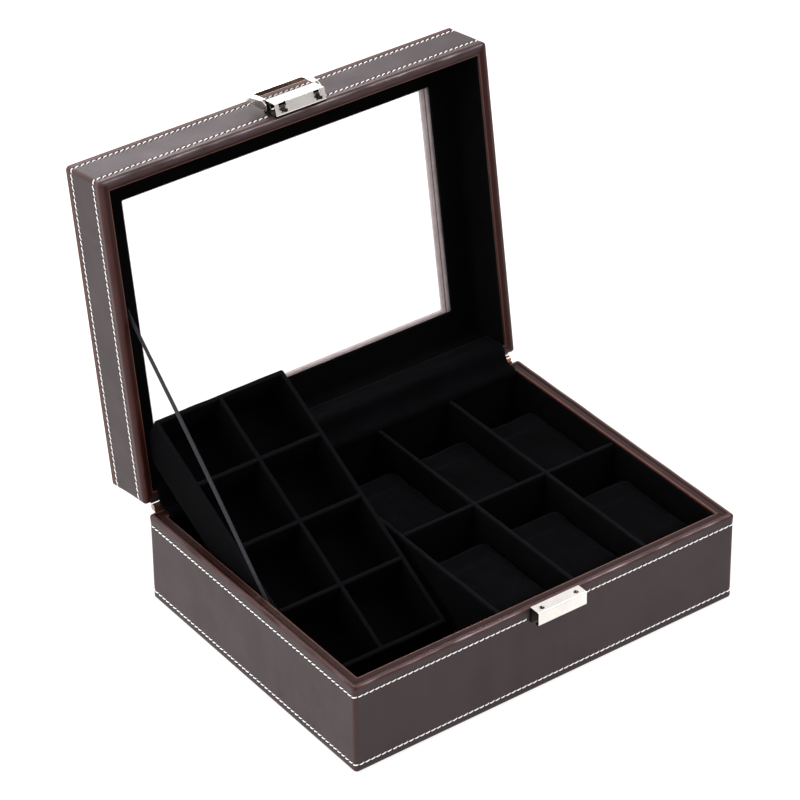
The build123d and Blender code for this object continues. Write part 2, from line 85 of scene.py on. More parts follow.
def wavy(p, size, seed=0):
    """Smooth noise about -1..1 at points p (mm) with features of about size mm."""
    if seed not in _WAVES:
        r = np.random.default_rng(1000 + seed)
        k = r.normal(size=(24, 3))
        k /= np.linalg.norm(k, axis=1)[:, None]
        k *= r.uniform(0.55, 1.6, size=(24, 1))
        _WAVES[seed] = (k, r.uniform(0, 2 * math.pi, 24))
    k, ph = _WAVES[seed]
    q = np.asarray(p, float).reshape(-1, 3) @ (k.T * (2 * math.pi / size)) + ph
    return (np.sin(q).sum(1) / math.sqrt(24) * 0.9).reshape(np.asarray(p).shape[:-1])


# ------------------------------------------------------------------ mesh writing
def write_mesh(name, verts, faces, matrix=BASE, attrs=None, smooth=True, uv=None):
    """verts in mm, laid out flat or shut; P0 keeps those places for materials."""
    verts = np.asarray(verts, float).reshape(-1, 3)
    m = np.array(matrix)
    world = verts @ m[:3, :3].T + m[:3, 3]
    me = bpy.data.meshes.new(name)
    me.from_pydata((world * MM).tolist(), [], [list(f) for f in faces])
    me.update()
    a = me.attributes.new("P0", "FLOAT_VECTOR", "POINT")
    a.data.foreach_set("vector", (verts * MM).astype(np.float32).ravel())
    for key, val in (attrs or {}).items():
        a = me.attributes.new(key, "FLOAT", "POINT")
        a.data.foreach_set("value", np.asarray(val, np.float32).ravel())
    if smooth:
        me.polygons.foreach_set("use_smooth", [True] * len(me.polygons))
    ob = bpy.data.objects.new(name, me)
    bpy.context.scene.collection.objects.link(ob)
    return ob


def rr_path(hx, hy, r, nx, ny, nc):
    """Rounded rectangle, anticlockwise from the middle of the back, with the
    same number of points whatever its size. Returns xy and outward normals."""
    r = max(min(r, hx, hy), 1e-3)
    pts, nor = [], []
    tx = np.linspace(-1, 1, nx)
    ty = np.linspace(-1, 1, ny)

    def corner(cx, cy, a0):
        for k in range(1, nc):
            a = math.radians(a0 + 90 * k / nc)
            pts.append((cx + r * math.cos(a), cy + r * math.sin(a)))
            nor.append((math.cos(a), math.sin(a)))

    for t in tx:                                   # front, left to right
        pts.append((t * (hx - r), -hy)); nor.append((0, -1))
    corner(hx - r, -(hy - r), -90)
    for t in ty:                                   # right
        pts.append((hx, t * (hy - r))); nor.append((1, 0))
    corner(hx - r, hy - r, 0)
    for t in tx[::-1]:                             # back
        pts.append((t * (hx - r), hy)); nor.append((0, 1))
    corner(-(hx - r), hy - r, 90)
    for t in ty[::-1]:                             # left
        pts.append((-hx, t * (hy - r))); nor.append((-1, 0))
    corner(-(hx - r), -(hy - r), 180)
    return np.array(pts), np.array(nor)


def ring(rows, nx, ny, nc, closed=False):
    """Rows of (hx, hy, r, z) joined to one another. Returns P (rows, n, 3),
    path normals (n, 2) and quads."""
    P, N = [], None
    for row in rows:
        hx, hy, r, z = row[:4]
        xy, nor = rr_path(hx, hy, r, nx, ny, nc)
        if len(row) > 4:
            xy = xy + np.array(row[4:6])
        N = nor
        P.append(np.column_stack([xy, np.full(len(xy), z)]))
    P = np.array(P)
    R, n = P.shape[:2]
    faces = []
    rr = R if closed else R - 1
    for i in range(rr):
        a, b = i * n, ((i + 1) % R) * n
        for j in range(n):
            k = (j + 1) % n
            faces.append((a + j, a + k, b + k, b + j))
    return P, N, faces


def arc(cx, cz, r, a0, a1, n):
    """Points of an arc in (inset, z)."""
    return [(cx + r * math.cos(math.radians(a0 + (a1 - a0) * k / n)),
             cz + r * math.sin(math.radians(a0 + (a1 - a0) * k / n))) for k in range(n + 1)]


def soft_box(lo, hi, r, step=4.0, seg=4):
    """Box with rounded edges and a fine grid. Returns verts (n, 3), faces."""
    lo, hi = np.array(lo, float), np.array(hi, float)
    r = min(r, float((hi - lo).min()) / 2 - 1e-4)
    axes = []
    for a in range(3):
        edge = [r * (1 - math.cos(math.radians(90 * k / seg))) for k in range(seg + 1)]
        inner = (hi[a] - lo[a]) - 2 * r
        cnt = max(1, int(round(inner / step)))
        mid = [r + inner * k / cnt for k in range(1, cnt)]
        c = edge + mid + [hi[a] - lo[a] - e for e in edge[::-1]]
        axes.append(lo[a] + np.array(c))
    index, verts, faces = {}, [], []

    def vid(p):
        key = tuple(np.round(p, 5))
        if key not in index:
            index[key] = len(verts)
            verts.append(p)
        return index[key]

    for a in range(3):
        b, c = (a + 1) % 3, (a + 2) % 3
        for side, val in ((0, lo[a]), (1, hi[a])):
            g = [[None] * len(axes[c]) for _ in axes[b]]
            for i, u in enumerate(axes[b]):
                for j, v in enumerate(axes[c]):
                    p = [0, 0, 0]
                    p[a], p[b], p[c] = val, u, v
                    g[i][j] = vid(tuple(p))
            for i in range(len(axes[b]) - 1):
                for j in range(len(axes[c]) - 1):
                    f = (g[i][j], g[i + 1][j], g[i + 1][j + 1], g[i][j + 1])
                    faces.append(f if side else f[::-1])
    V = np.array(verts, float)
    q = np.clip(V, lo + r, hi - r)
    d = V - q
    n = np.linalg.norm(d, axis=1)
    m = n > 1e-9
    V[m] = q[m] + d[m] / n[m][:, None] * r
    return V, faces


def join_parts(parts):
    """Several (verts, faces) into one."""
    vs, fs, k = [], [], 0
    for v, f in parts:
        vs.append(v)
        fs += [tuple(i + k for i in face) for face in f]
        k += len(v)
    return np.vstack(vs), fs


# ------------------------------------------------------------------ materials
def material(name):
    m = bpy.data.materials.new(name)
    m.use_nodes = True
    nt = m.node_tree
    nt.nodes.clear()
    out = nt.nodes.new("ShaderNodeOutputMaterial")
    bs = nt.nodes.new("ShaderNodeBsdfPrincipled")
    nt.links.new(bs.outputs["BSDF"], out.inputs["Surface"])
    return m, nt, bs


def node(nt, kind, **kw):
    n = nt.nodes.new(kind)
    for k, v in kw.items():
        if k in n.inputs:
            n.inputs[k].default_value = v
        else:
            setattr(n, k, v)
    return n


def place(nt, attribute="P0"):
    n = nt.nodes.new("ShaderNodeAttribute")
    n.attribute_name = attribute
    n.attribute_type = "GEOMETRY"
    return n


def noise_tex(nt, vec, scale, detail=4.0, rough=0.55, stretch=None):
    t = nt.nodes.new("ShaderNodeTexNoise")
    t.inputs["Scale"].default_value = scale
    t.inputs["Detail"].default_value = detail
    t.inputs["Roughness"].default_value = rough
    if stretch:
        mp = nt.nodes.new("ShaderNodeMapping")
        mp.inputs["Scale"].default_value = stretch
        nt.links.new(vec, mp.inputs["Vector"])
        vec = mp.outputs["Vector"]
    nt.links.new(vec, t.inputs["Vector"])
    return t


def ramp(nt, fac, stops):
    r = nt.nodes.new("ShaderNodeValToRGB")
    el = r.color_ramp.elements
    while len(el) > 1:
        el.remove(el[-1])
    el[0].position = stops[0][0]
    el[0].color = stops[0][1]
    for pos, col in stops[1:]:
        e = el.new(pos)
        e.color = col
    nt.links.new(fac, r.inputs["Fac"])
    return r


def mix_rgb(nt, fac, a, b, blend="MIX"):
    m = nt.nodes.new("ShaderNodeMix")
    m.data_type = "RGBA"
    m.blend_type = blend
    for sock, val in ((m.inputs[0], fac), (m.inputs[6], a), (m.inputs[7], b)):
        if hasattr(val, "links") or hasattr(val, "is_linked"):
            nt.links.new(val, sock)
        else:
            sock.default_value = val
    return m.outputs[2]


def math_node(nt, op, a, b=None, clamp=False):
    m = nt.nodes.new("ShaderNodeMath")
    m.operation = op
    m.use_clamp = clamp
    for sock, val in ((m.inputs[0], a), (m.inputs[1], b)):
        if val is None:
            continue
        if hasattr(val, "is_linked"):
            nt.links.new(val, sock)
        else:
            sock.default_value = val
    return m.outputs[0]


def map_range(nt, val, a, b, c, d):
    m = nt.nodes.new("ShaderNodeMapRange")
    m.inputs["From Min"].default_value = a
    m.inputs["From Max"].default_value = b
    m.inputs["To Min"].default_value = c
    m.inputs["To Max"].default_value = d
    nt.links.new(val, m.inputs["Value"])
    return m.outputs["Result"]


def bump(nt, height, distance, strength=1.0, normal=None):
    b = nt.nodes.new("ShaderNodeBump")
    b.inputs["Distance"].default_value = distance
    b.inputs["Strength"].default_value = strength
    nt.links.new(height, b.inputs["Height"])
    if normal is not None:
        nt.links.new(normal, b.inputs["Normal"])
    return b.outputs["Normal"]


def leather_material(name, body=(0.0250, 0.0148, 0.0158), warm=(0.066, 0.0155, 0.0090),
                     rough=0.42, cad=False, line_and_glint_color=(0.25, 0.115, 0.085)):
    """Smooth dark brown leather: fine grain, faint streaks, edges burnished red; painted shade and painted highlight
    lines come from mesh attributes.
    """
    m, nt, bs = material(name)
    if cad:
        tc = nt.nodes.new("ShaderNodeTexCoord")
        vec = tc.outputs["Object"]
    else:
        vec = place(nt).outputs["Vector"]
    cloud = noise_tex(nt, vec, 14.0, 5.0, 0.6)
    streak = noise_tex(nt, vec, 60.0, 3.0, 0.5, (1.0, 1.0, 0.12))
    body_l = tuple(c * 1.16 for c in body) + (1,)
    body_d = tuple(c * 0.80 for c in body) + (1,)
    col = ramp(nt, cloud.outputs["Fac"], [(0.30, body_d), (0.70, body_l)]).outputs["Color"]
    st = ramp(nt, streak.outputs["Fac"],
              [(0.35, (0.86, 0.86, 0.87, 1)), (0.65, (1.12, 1.11, 1.10, 1))]).outputs["Color"]
    col = mix_rgb(nt, 1.0, col, st, "MULTIPLY")
    if not cad:
        e = place(nt, "edge").outputs["Fac"]
        worn = noise_tex(nt, vec, 90.0, 5.0, 0.65)
        worn2 = noise_tex(nt, vec, 420.0, 3.0, 0.6)
        k = math_node(nt, "MULTIPLY_ADD", worn.outputs["Fac"], 0.9)
        k.node.inputs[2].default_value = 0.45
        f = math_node(nt, "MULTIPLY", e, k, True)
        f2 = math_node(nt, "MULTIPLY_ADD", worn2.outputs["Fac"], 0.5)
        f2.node.inputs[2].default_value = 0.75
        f = math_node(nt, "MULTIPLY", f, f2, True)
        col = mix_rgb(nt, f, col, warm + (1,))
        rg = map_range(nt, f, 0.0, 1.0, rough, rough - 0.06)
        ln = place(nt, "line_and_glint").outputs["Fac"]
        painted_shade_and_gloss = place(nt, "painted_shade_and_gloss").outputs["Fac"]
        # painted shade: where this attribute is above zero the colour is darkened and the specular lowered; below zero
        # it only makes the leather glossier
        col = mix_rgb(nt, painted_shade_and_gloss, col, mix_rgb(nt, 1.0, col, (0.42, 0.40, 0.40, 1), "MULTIPLY"))
        shine = map_range(nt, painted_shade_and_gloss, -1.0, 0.0, 0.85, 0.0)
        level = math_node(nt, "ADD", map_range(nt, painted_shade_and_gloss, 0.0, 1.5, 0.30, 0.03), 0.0)
        nt.links.new(shine, level.node.inputs[1])
        nt.links.new(level, bs.inputs["Specular IOR Level"])
        # painted highlight: thin lighter lines along the rims' inner edges and bead crests; the same colour also draws
        # real edge lines
        g = math_node(nt, "MULTIPLY", ln, k, True)
        col = mix_rgb(nt, g, col, line_and_glint_color + (1,))
    else:
        rg = None
    nt.links.new(col, bs.inputs["Base Color"])
    fine = noise_tex(nt, vec, 1500.0, 2.0, 0.5)
    pores = nt.nodes.new("ShaderNodeTexVoronoi")
    pores.inputs["Scale"].default_value = 900.0
    nt.links.new(vec, pores.inputs["Vector"])
    h = math_node(nt, "MULTIPLY_ADD", pores.outputs["Distance"], 0.7)
    nt.links.new(fine.outputs["Fac"], h.node.inputs[2])
    n1 = bump(nt, h, 0.00006, 0.35)
    folds = noise_tex(nt, vec, 130.0, 3.0, 0.5)
    n2 = bump(nt, folds.outputs["Fac"], 0.0004, 0.16, n1)
    nt.links.new(n2, bs.inputs["Normal"])
    rn = noise_tex(nt, vec, 45.0, 4.0, 0.6)
    r1 = map_range(nt, rn.outputs["Fac"], 0.3, 0.7, -0.04, 0.05)
    if rg is None:
        rr = math_node(nt, "ADD", r1, rough)
    else:
        rr = math_node(nt, "ADD", r1, rg)
        smooth = math_node(nt, "MULTIPLY_ADD", shine, -0.14)
        nt.links.new(rr, smooth.node.inputs[2])
        rr = smooth
    nt.links.new(rr, bs.inputs["Roughness"])
    if cad:
        bs.inputs["Specular IOR Level"].default_value = 0.30
    bs.inputs["Specular Tint"].default_value = (1.0, 0.845, 0.895, 1)
    return m


def velvet_material(name, body=(0.0009, 0.0009, 0.0012), sheen=0.012, cad=False, pile=1.0):
    """Short black pile: soft sheen at grazing angles, brushed cloudy patches."""
    m, nt, bs = material(name)
    if cad:
        tc = nt.nodes.new("ShaderNodeTexCoord")
        vec = tc.outputs["Object"]
    else:
        vec = place(nt).outputs["Vector"]
    cloud = noise_tex(nt, vec, 40.0, 4.0, 0.6)
    a = tuple(c * 0.6 for c in body) + (1,)
    b = tuple(c * 1.5 for c in body) + (1,)
    col = ramp(nt, cloud.outputs["Fac"], [(0.3, a), (0.7, b)]).outputs["Color"]
    nap = noise_tex(nt, vec, 2600.0, 2.0, 0.6)
    col = mix_rgb(nt, 1.0, col,
                  ramp(nt, nap.outputs["Fac"], [(0.3, (0.6, 0.6, 0.6, 1)),
                                               (0.75, (1.7, 1.7, 1.7, 1))]).outputs["Color"],
                  "MULTIPLY")
    if not cad:
        # painted highlight: the edge attribute mixes in a lighter grey, so the pile's edges and seams look lit
        e = place(nt, "edge").outputs["Fac"]
        f = math_node(nt, "MULTIPLY", e, math_node(nt, "MULTIPLY_ADD", nap.outputs["Fac"], 0.8), True)
        col = mix_rgb(nt, f, col, (0.0048, 0.0047, 0.0057, 1))
    nt.links.new(col, bs.inputs["Base Color"])
    bs.inputs["Roughness"].default_value = 0.95
    bs.inputs["Specular IOR Level"].default_value = 0.04
    bs.inputs["Sheen Weight"].default_value = sheen
    bs.inputs["Sheen Roughness"].default_value = 0.35
    bs.inputs["Sheen Tint"].default_value = (0.62, 0.64, 0.72, 1)
    n = bump(nt, nap.outputs["Fac"], 0.00025 * pile, 0.5)
    soft = noise_tex(nt, vec, 300.0, 3.0, 0.5)
    n = bump(nt, soft.outputs["Fac"], 0.0005 * pile, 0.25, n)
    nt.links.new(n, bs.inputs["Normal"])
    return m


def metal_material(name, color=(0.80, 0.765, 0.71), rough=0.16, tarnish=None, scale=1.0):
    m, nt, bs = material(name)
    tc = nt.nodes.new("ShaderNodeTexCoord")
    vec = tc.outputs["Object"]
    cloud = noise_tex(nt, vec, 120.0 * scale, 4.0, 0.6)
    c0 = tuple(c * 0.93 for c in color) + (1,)
    c1 = tuple(min(1.0, c * 1.03) for c in color) + (1,)
    col = ramp(nt, cloud.outputs["Fac"], [(0.35, c0), (0.65, c1)]).outputs["Color"]
    if tarnish:
        t = noise_tex(nt, vec, 260.0 * scale, 6.0, 0.7)
        f = ramp(nt, t.outputs["Fac"], [(0.45, (0, 0, 0, 1)), (0.72, (1, 1, 1, 1))]).outputs["Color"]
        col = mix_rgb(nt, f, col, tarnish + (1,))
    nt.links.new(col, bs.inputs["Base Color"])
    bs.inputs["Metallic"].default_value = 1.0
    sc = noise_tex(nt, vec, 900.0, 3.0, 0.6, (1.0, 8.0, 8.0))
    rr = map_range(nt, sc.outputs["Fac"], 0.3, 0.7, rough * 0.75, rough * 1.35)
    nt.links.new(rr, bs.inputs["Roughness"])
    nt.links.new(bump(nt, sc.outputs["Fac"], 0.00003, 0.25), bs.inputs["Normal"])
    return m


def thread_material(name):
    m, nt, bs = material(name)
    vec = place(nt).outputs["Vector"]
    w = nt.nodes.new("ShaderNodeTexWave")
    w.inputs["Scale"].default_value = 620.0
    w.inputs["Distortion"].default_value = 1.5
    w.bands_direction = "DIAGONAL"
    nt.links.new(vec, w.inputs["Vector"])
    col = ramp(nt, w.outputs["Fac"], [(0.0, (0.80, 0.78, 0.75, 1)), (0.5, (0.98, 0.97, 0.95, 1))]).outputs["Color"]
    nt.links.new(col, bs.inputs["Base Color"])
    bs.inputs["Roughness"].default_value = 0.62
    bs.inputs["Sheen Weight"].default_value = 0.2
    # painted light: a faint white glow keeps the stitches bright whatever light falls on them
    bs.inputs["Emission Color"].default_value = (1.0, 0.98, 0.95, 1)
    bs.inputs["Emission Strength"].default_value = 0.10
    nt.links.new(bump(nt, w.outputs["Fac"], 0.00012, 0.4), bs.inputs["Normal"])
    return m


def board_material(name):
    m, nt, bs = material(name)
    tc = nt.nodes.new("ShaderNodeTexCoord")
    n = noise_tex(nt, tc.outputs["Object"], 700.0, 6.0, 0.75)
    col = ramp(nt, n.outputs["Fac"], [(0.3, (0.20, 0.13, 0.075, 1)), (0.7, (0.36, 0.25, 0.15, 1))]).outputs["Color"]
    nt.links.new(col, bs.inputs["Base Color"])
    bs.inputs["Roughness"].default_value = 0.85
    nt.links.new(bump(nt, n.outputs["Fac"], 0.0002, 0.4), bs.inputs["Normal"])
    return m


def glass_material(name):
    m, nt, bs = material(name)
    bs.inputs["Base Color"].default_value = (0.985, 0.995, 0.99, 1)
    bs.inputs["Transmission Weight"].default_value = 1.0
    bs.inputs["IOR"].default_value = 1.46
    tc = nt.nodes.new("ShaderNodeTexCoord")
    n = noise_tex(nt, tc.outputs["Object"], 18.0, 3.0, 0.5)
    nt.links.new(map_range(nt, n.outputs["Fac"], 0.3, 0.7, 0.0, 0.012), bs.inputs["Roughness"])
    return m


def ribbon_material(name):
    m, nt, bs = material(name)
    vec = place(nt).outputs["Vector"]
    w = noise_tex(nt, vec, 2500.0, 2.0, 0.5, (1.0, 0.15, 0.15))
    col = ramp(nt, w.outputs["Fac"], [(0.3, (0.007, 0.0072, 0.0098, 1)), (0.7, (0.014, 0.0144, 0.019, 1))]).outputs["Color"]
    nt.links.new(col, bs.inputs["Base Color"])
    bs.inputs["Roughness"].default_value = 0.6
    bs.inputs["Specular IOR Level"].default_value = 0.18
    bs.inputs["Sheen Weight"].default_value = 0.06
    bs.inputs["Sheen Tint"].default_value = (0.5, 0.52, 0.62, 1)
    nt.links.new(bump(nt, w.outputs["Fac"], 0.0001, 0.4), bs.inputs["Normal"])
    return m


LEATHER = leather_material("leather")
# lighter grey line colour for the window strips, partly painted light
LEATHER_TOP = leather_material("leather_top_panel", warm=(0.26, 0.072, 0.046), line_and_glint_color=(0.46, 0.375, 0.378))
VELVET = velvet_material("velvet")
# painted shade: a darker copy of the velvet, with less sheen, for the tray
VELVET_TRAY_SHADED = velvet_material("velvet_tray_shaded", (0.0007, 0.0007, 0.0010), 0.010)
VELVET_PILLOW = velvet_material("velvet_pillow", (0.0012, 0.0012, 0.0016), 0.020, False, 1.3)
VELVET_GUSSET = velvet_material("velvet_gusset", (0.0012, 0.0012, 0.0016), 0.022)
FELT = velvet_material("felt", (0.006, 0.006, 0.0065), 0.05)
NICKEL = metal_material("nickel", (0.83, 0.785, 0.74), 0.20)
# painted shade: near-black nickel on inner faces, notches, the back plate and the pin
NICKEL_SHADE = metal_material("nickel_painted_shade", (0.016, 0.012, 0.010), 0.50)
# painted shade: brown-toned nickel for the underside of the handle's far bar
NICKEL_BROWN_SHADE = metal_material("nickel_lip_painted_shade", (0.52, 0.34, 0.22), 0.35)
BRASS = metal_material("hinge_brass", (0.56, 0.37, 0.31), 0.30, (0.26, 0.15, 0.11))
NAIL = metal_material("nail_brass", (0.34, 0.17, 0.08), 0.40, (0.06, 0.03, 0.015))
THREAD = thread_material("thread")
BOARD = board_material("fibreboard")
GLASS = glass_material("window_glass")
RIBBON = ribbon_material("ribbon")


def finish_piece(ob, mat, body, nodes=()):
    ob.data.materials.clear()
    ob.data.materials.append(mat)
    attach(ob, body)
    if nodes:
        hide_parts(*nodes)
    return ob


# --------------------------------------------------------------- leather: base
NC = 6
NX_B, NY_B = 262, 198


def stitch_dip(z, lines, depth=0.28, width=0.75):
    out = 0.0
    for s in lines:
        out += depth * math.exp(-((z - s) / width) ** 2)
    return out


def wall_rows(z0, z1, lines, step=4.0):
    """Heights down a wall, closer together near the stitch lines."""
    zs = set()
    n = max(2, int(abs(z1 - z0) / step))
    for k in range(n + 1):
        zs.add(round(z0 + (z1 - z0) * k / n, 3))
    for s in lines:
        for d in (-2.4, -1.6, -1.0, -0.6, -0.3, 0.0, 0.3, 0.6, 1.0, 1.6, 2.4):
            zs.add(round(s + d, 3))
    lo, hi = min(z0, z1), max(z0, z1)
    out = sorted(z for z in zs if lo <= z <= hi)
    return out if z1 > z0 else out[::-1]


def corner_mask(P, hx, hy, reach):
    """1 at the upright corners, falling away along the walls."""
    dx = hx - np.abs(P[..., 0])
    dy = hy - np.abs(P[..., 1])
    return np.exp(-(np.maximum(dx, dy) / reach) ** 2)


def base_wrap():
    lines = STITCH_BASE
    prof = [(8.25, 58.6), (8.25, 59.4), (8.25, 60.0)]
    prof += arc(7.35, 60.05, 0.9, 0, 90, 6)[1:]
    for d, z in ((6.9, 60.94), (6.3, 60.94), (5.6, 60.92), (4.9, 60.88), (4.4, 60.84), (4.05, 60.82),
                 (3.75, 60.86), (3.45, 61.0), (3.15, 61.26)):
        prof.append((d, z))
    prof += arc(2.2, 59.2, 2.3, 70, 180, 9)
    prof[-1] = (0.0, 59.2)
    prof = [(max(d, 0.0), z) for d, z in prof]
    zs = wall_rows(58.9, 1.9, lines)
    prof += [(0.0, z) for z in zs]
    prof += arc(1.3, 1.65, 1.3, 180, 270, 5)
    prof += [(4.0, 0.35), (9.0, 0.35)]
    rows = [(HX - d, HY - d, max(2.5 - d, 0.35), z) for d, z in prof]
    P, N, faces = ring(rows, NX_B, NY_B, NC)
    R, n = P.shape[:2]
    d = np.array([p[0] for p in prof])[:, None] * np.ones((1, n))
    z = np.array([p[1] for p in prof])[:, None] * np.ones((1, n))
    nor = np.column_stack([N, np.zeros(n)])[None]
    # thread pulls the leather in, a little more at each hole
    s = np.cumsum(np.r_[0, np.linalg.norm(np.diff(P[R // 2], axis=0), axis=1)])
    hole = 0.5 + 0.5 * np.cos(2 * math.pi * s / pitch_of(s[-1]))
    dip = sum(np.exp(-((z - q) / 0.85) ** 2) for q in lines)
    wall = (d < 0.01)
    P -= nor * (dip * (0.20 + 0.16 * hole[None]) * wall)[..., None]
    # gentle swelling between the lines and hand-made unevenness
    swell = wavy(P, 70.0, 1) * 0.10 + wavy(P, 24.0, 2) * 0.045
    P -= nor * ((0.16 - swell * 0.8) * wall * np.clip((z - 1.9) / 4, 0, 1) * np.clip((59.2 - z) / 3, 0, 1))[..., None]
    rimz = (z > 60.2)
    P[..., 2] += rimz * (wavy(P, 28.0, 3) * 0.07 - 0.05)
    # small pull marks where the leather was turned over the edge
    streaks = wavy(P * np.array([1.0, 1.0, 0.2]), 3.2, 9) * np.exp(-((d - 5.2) / 1.6) ** 2)
    P[..., 2] += rimz * streaks * 0.035
    P[..., 2] = np.where(rimz & (d > 1.0), np.maximum(P[..., 2], 60.70), P[..., 2])
    # mitre fold across each corner of the rim
    diag = np.abs((HX - np.abs(P[..., 0])) - (HY - np.abs(P[..., 1])))
    near = np.maximum(HX - np.abs(P[..., 0]), HY - np.abs(P[..., 1])) < 9.5
    # a folded flap with a fine groove on either side
    near = near * (z > 60.0)
    lean = (HX - np.abs(P[..., 0])) - (HY - np.abs(P[..., 1])) + 0.25 * np.sin(d * 1.3)
    P[..., 2] -= near * 0.26 * np.exp(-((np.abs(lean) - 1.05) / 0.28) ** 2) * np.clip(d / 1.5, 0.35, 1) * np.where(d > 3.0, 0.5, 1.0)
    P[..., 2] += near * 0.22 * np.exp(-(lean / 0.70) ** 2) * np.clip(d / 2.0, 0.3, 1)
    # burnish
    e = np.zeros_like(d)
    e = np.maximum(e, 0.85 * np.exp(-((d - 8.0) / 0.9) ** 2) * (z > 59))
    e = np.maximum(e, 0.65 * np.exp(-((d - 3.5) / 0.7) ** 2) * (z > 60.5))
    e = np.maximum(e, 0.40 * np.exp(-((d - 0.5) / 0.9) ** 2) * (z > 59.6))
    e = np.maximum(e, 0.34 * (z > 60.6))
    e = np.maximum(e, 0.65 * np.exp(-(z / 1.5) ** 2))
    e = np.maximum(e, 0.60 * corner_mask(P, HX, HY, 2.0))
    e = np.maximum(e, 0.75 * near * np.exp(-((diag - 0.8) / 0.5) ** 2))
    e = np.maximum(e, 0.20 * np.exp(-((z - lines[0]) / 1.6) ** 2) * wall)
    # painted highlight: a light line along the rim's inner edge and a fainter one on the bead crest
    line_and_glint = 0.55 * np.exp(-((d - 7.75) / 0.35) ** 2) * (z > 60.2)
    line_and_glint = np.maximum(line_and_glint, 0.20 * np.exp(-((d - 1.9) / 0.5) ** 2) * (z > 60.8))
    # painted shade: the rim top is darkened except along the bead crest, and the grooves beside each mitre fold are
    # darkened
    painted_shade_and_gloss = np.clip((z - 60.35) / 0.3, 0, 1) * (1 - 0.95 * np.exp(-((d - 2.0) / 0.8) ** 2)) * np.where(d > 4.3, 0.75, 1.0)
    painted_shade_and_gloss = np.maximum(painted_shade_and_gloss, near * np.exp(-((np.abs(lean) - 1.0) / 0.35) ** 2))
    shine = np.exp(-((d - 0.85) / 0.85) ** 2) * (z > 60.0)
    shine *= 0.62 + 0.38 * wavy(P * np.array([0.35, 0.35, 1.0]), 8.0, 14)
    shine *= 1 - near * np.exp(-((np.abs(lean) - 1.0) / 0.5) ** 2)
    painted_shade_and_gloss = painted_shade_and_gloss * (1 - np.clip(shine * 1.2, 0, 1)) - shine
    ob = write_mesh("base_leather", P.reshape(-1, 3), faces, BASE, {"edge": e, "line_and_glint": line_and_glint, "painted_shade_and_gloss": painted_shade_and_gloss})
    finish_piece(ob, LEATHER, "base", ["base_leather_wrap"])
    return ob


def pitch_of(total, want=3.9):
    return total / round(total / want)


def thread_mesh(name, hx, hy, r, z, matrix, slant, skip=None, up=1.0):
    """A row of sewn stitches round a rounded rectangle, each one dipping into
    the leather at its ends."""
    xy, _ = rr_path(hx, hy, r, 400, 300, 12)
    loop = np.vstack([xy, xy[:1]])
    seg = np.linalg.norm(np.diff(loop, axis=0), axis=1)
    s = np.r_[0, np.cumsum(seg)]
    total = s[-1]
    pitch = pitch_of(total)
    count = int(round(total / pitch))
    half = 1.66
    rad = 0.37
    rng = np.random.default_rng(31 + int(z * 10))
    verts, faces, k0 = [], [], 0
    rings, sides = 9, 8
    for i in range(count):
        c = (i + 0.5) * pitch + rng.normal() * 0.07
        tilt = slant + rng.normal() * 0.03
        hl = half * (1 + rng.normal() * 0.03)
        cx = np.interp(c % total, s, loop[:, 0])
        cy = np.interp(c % total, s, loop[:, 1])
        if skip and skip(cx, cy):
            continue
        for a in range(rings):
            u = -1 + 2 * a / (rings - 1)
            q = (c + u * hl * math.cos(tilt)) % total
            px, py = np.interp(q, s, loop[:, 0]), np.interp(q, s, loop[:, 1])
            qa, qb = (q - 0.4) % total, (q + 0.4) % total
            ta = np.array([np.interp(qa, s, loop[:, 0]), np.interp(qa, s, loop[:, 1])])
            tb = np.array([np.interp(qb, s, loop[:, 0]), np.interp(qb, s, loop[:, 1])])
            t = tb - ta
            t /= max(np.linalg.norm(t), 1e-6)
            nrm = np.array([t[1], -t[0]])
            lift = 0.32 * (1 - abs(u) ** 5.0) - 0.12 * abs(u) ** 8
            rr = rad * (0.55 + 0.45 * math.sqrt(max(0.0, 1 - abs(u) ** 5)))
            zc = z + u * hl * math.sin(tilt) * up
            for b in range(sides):
                al = 2 * math.pi * b / sides
                o = lift + rr * math.cos(al) * 0.86
                verts.append((px + nrm[0] * o, py + nrm[1] * o, zc + rr * math.sin(al)))
        for a in range(rings - 1):
            for b in range(sides):
                b2 = (b + 1) % sides
                faces.append((k0 + a * sides + b, k0 + a * sides + b2,
                              k0 + (a + 1) * sides + b2, k0 + (a + 1) * sides + b))
        faces.append(tuple(k0 + b for b in range(sides))[::-1])
        faces.append(tuple(k0 + (rings - 1) * sides + b for b in range(sides)))
        k0 += rings * sides
    return write_mesh(name, verts, faces, matrix)


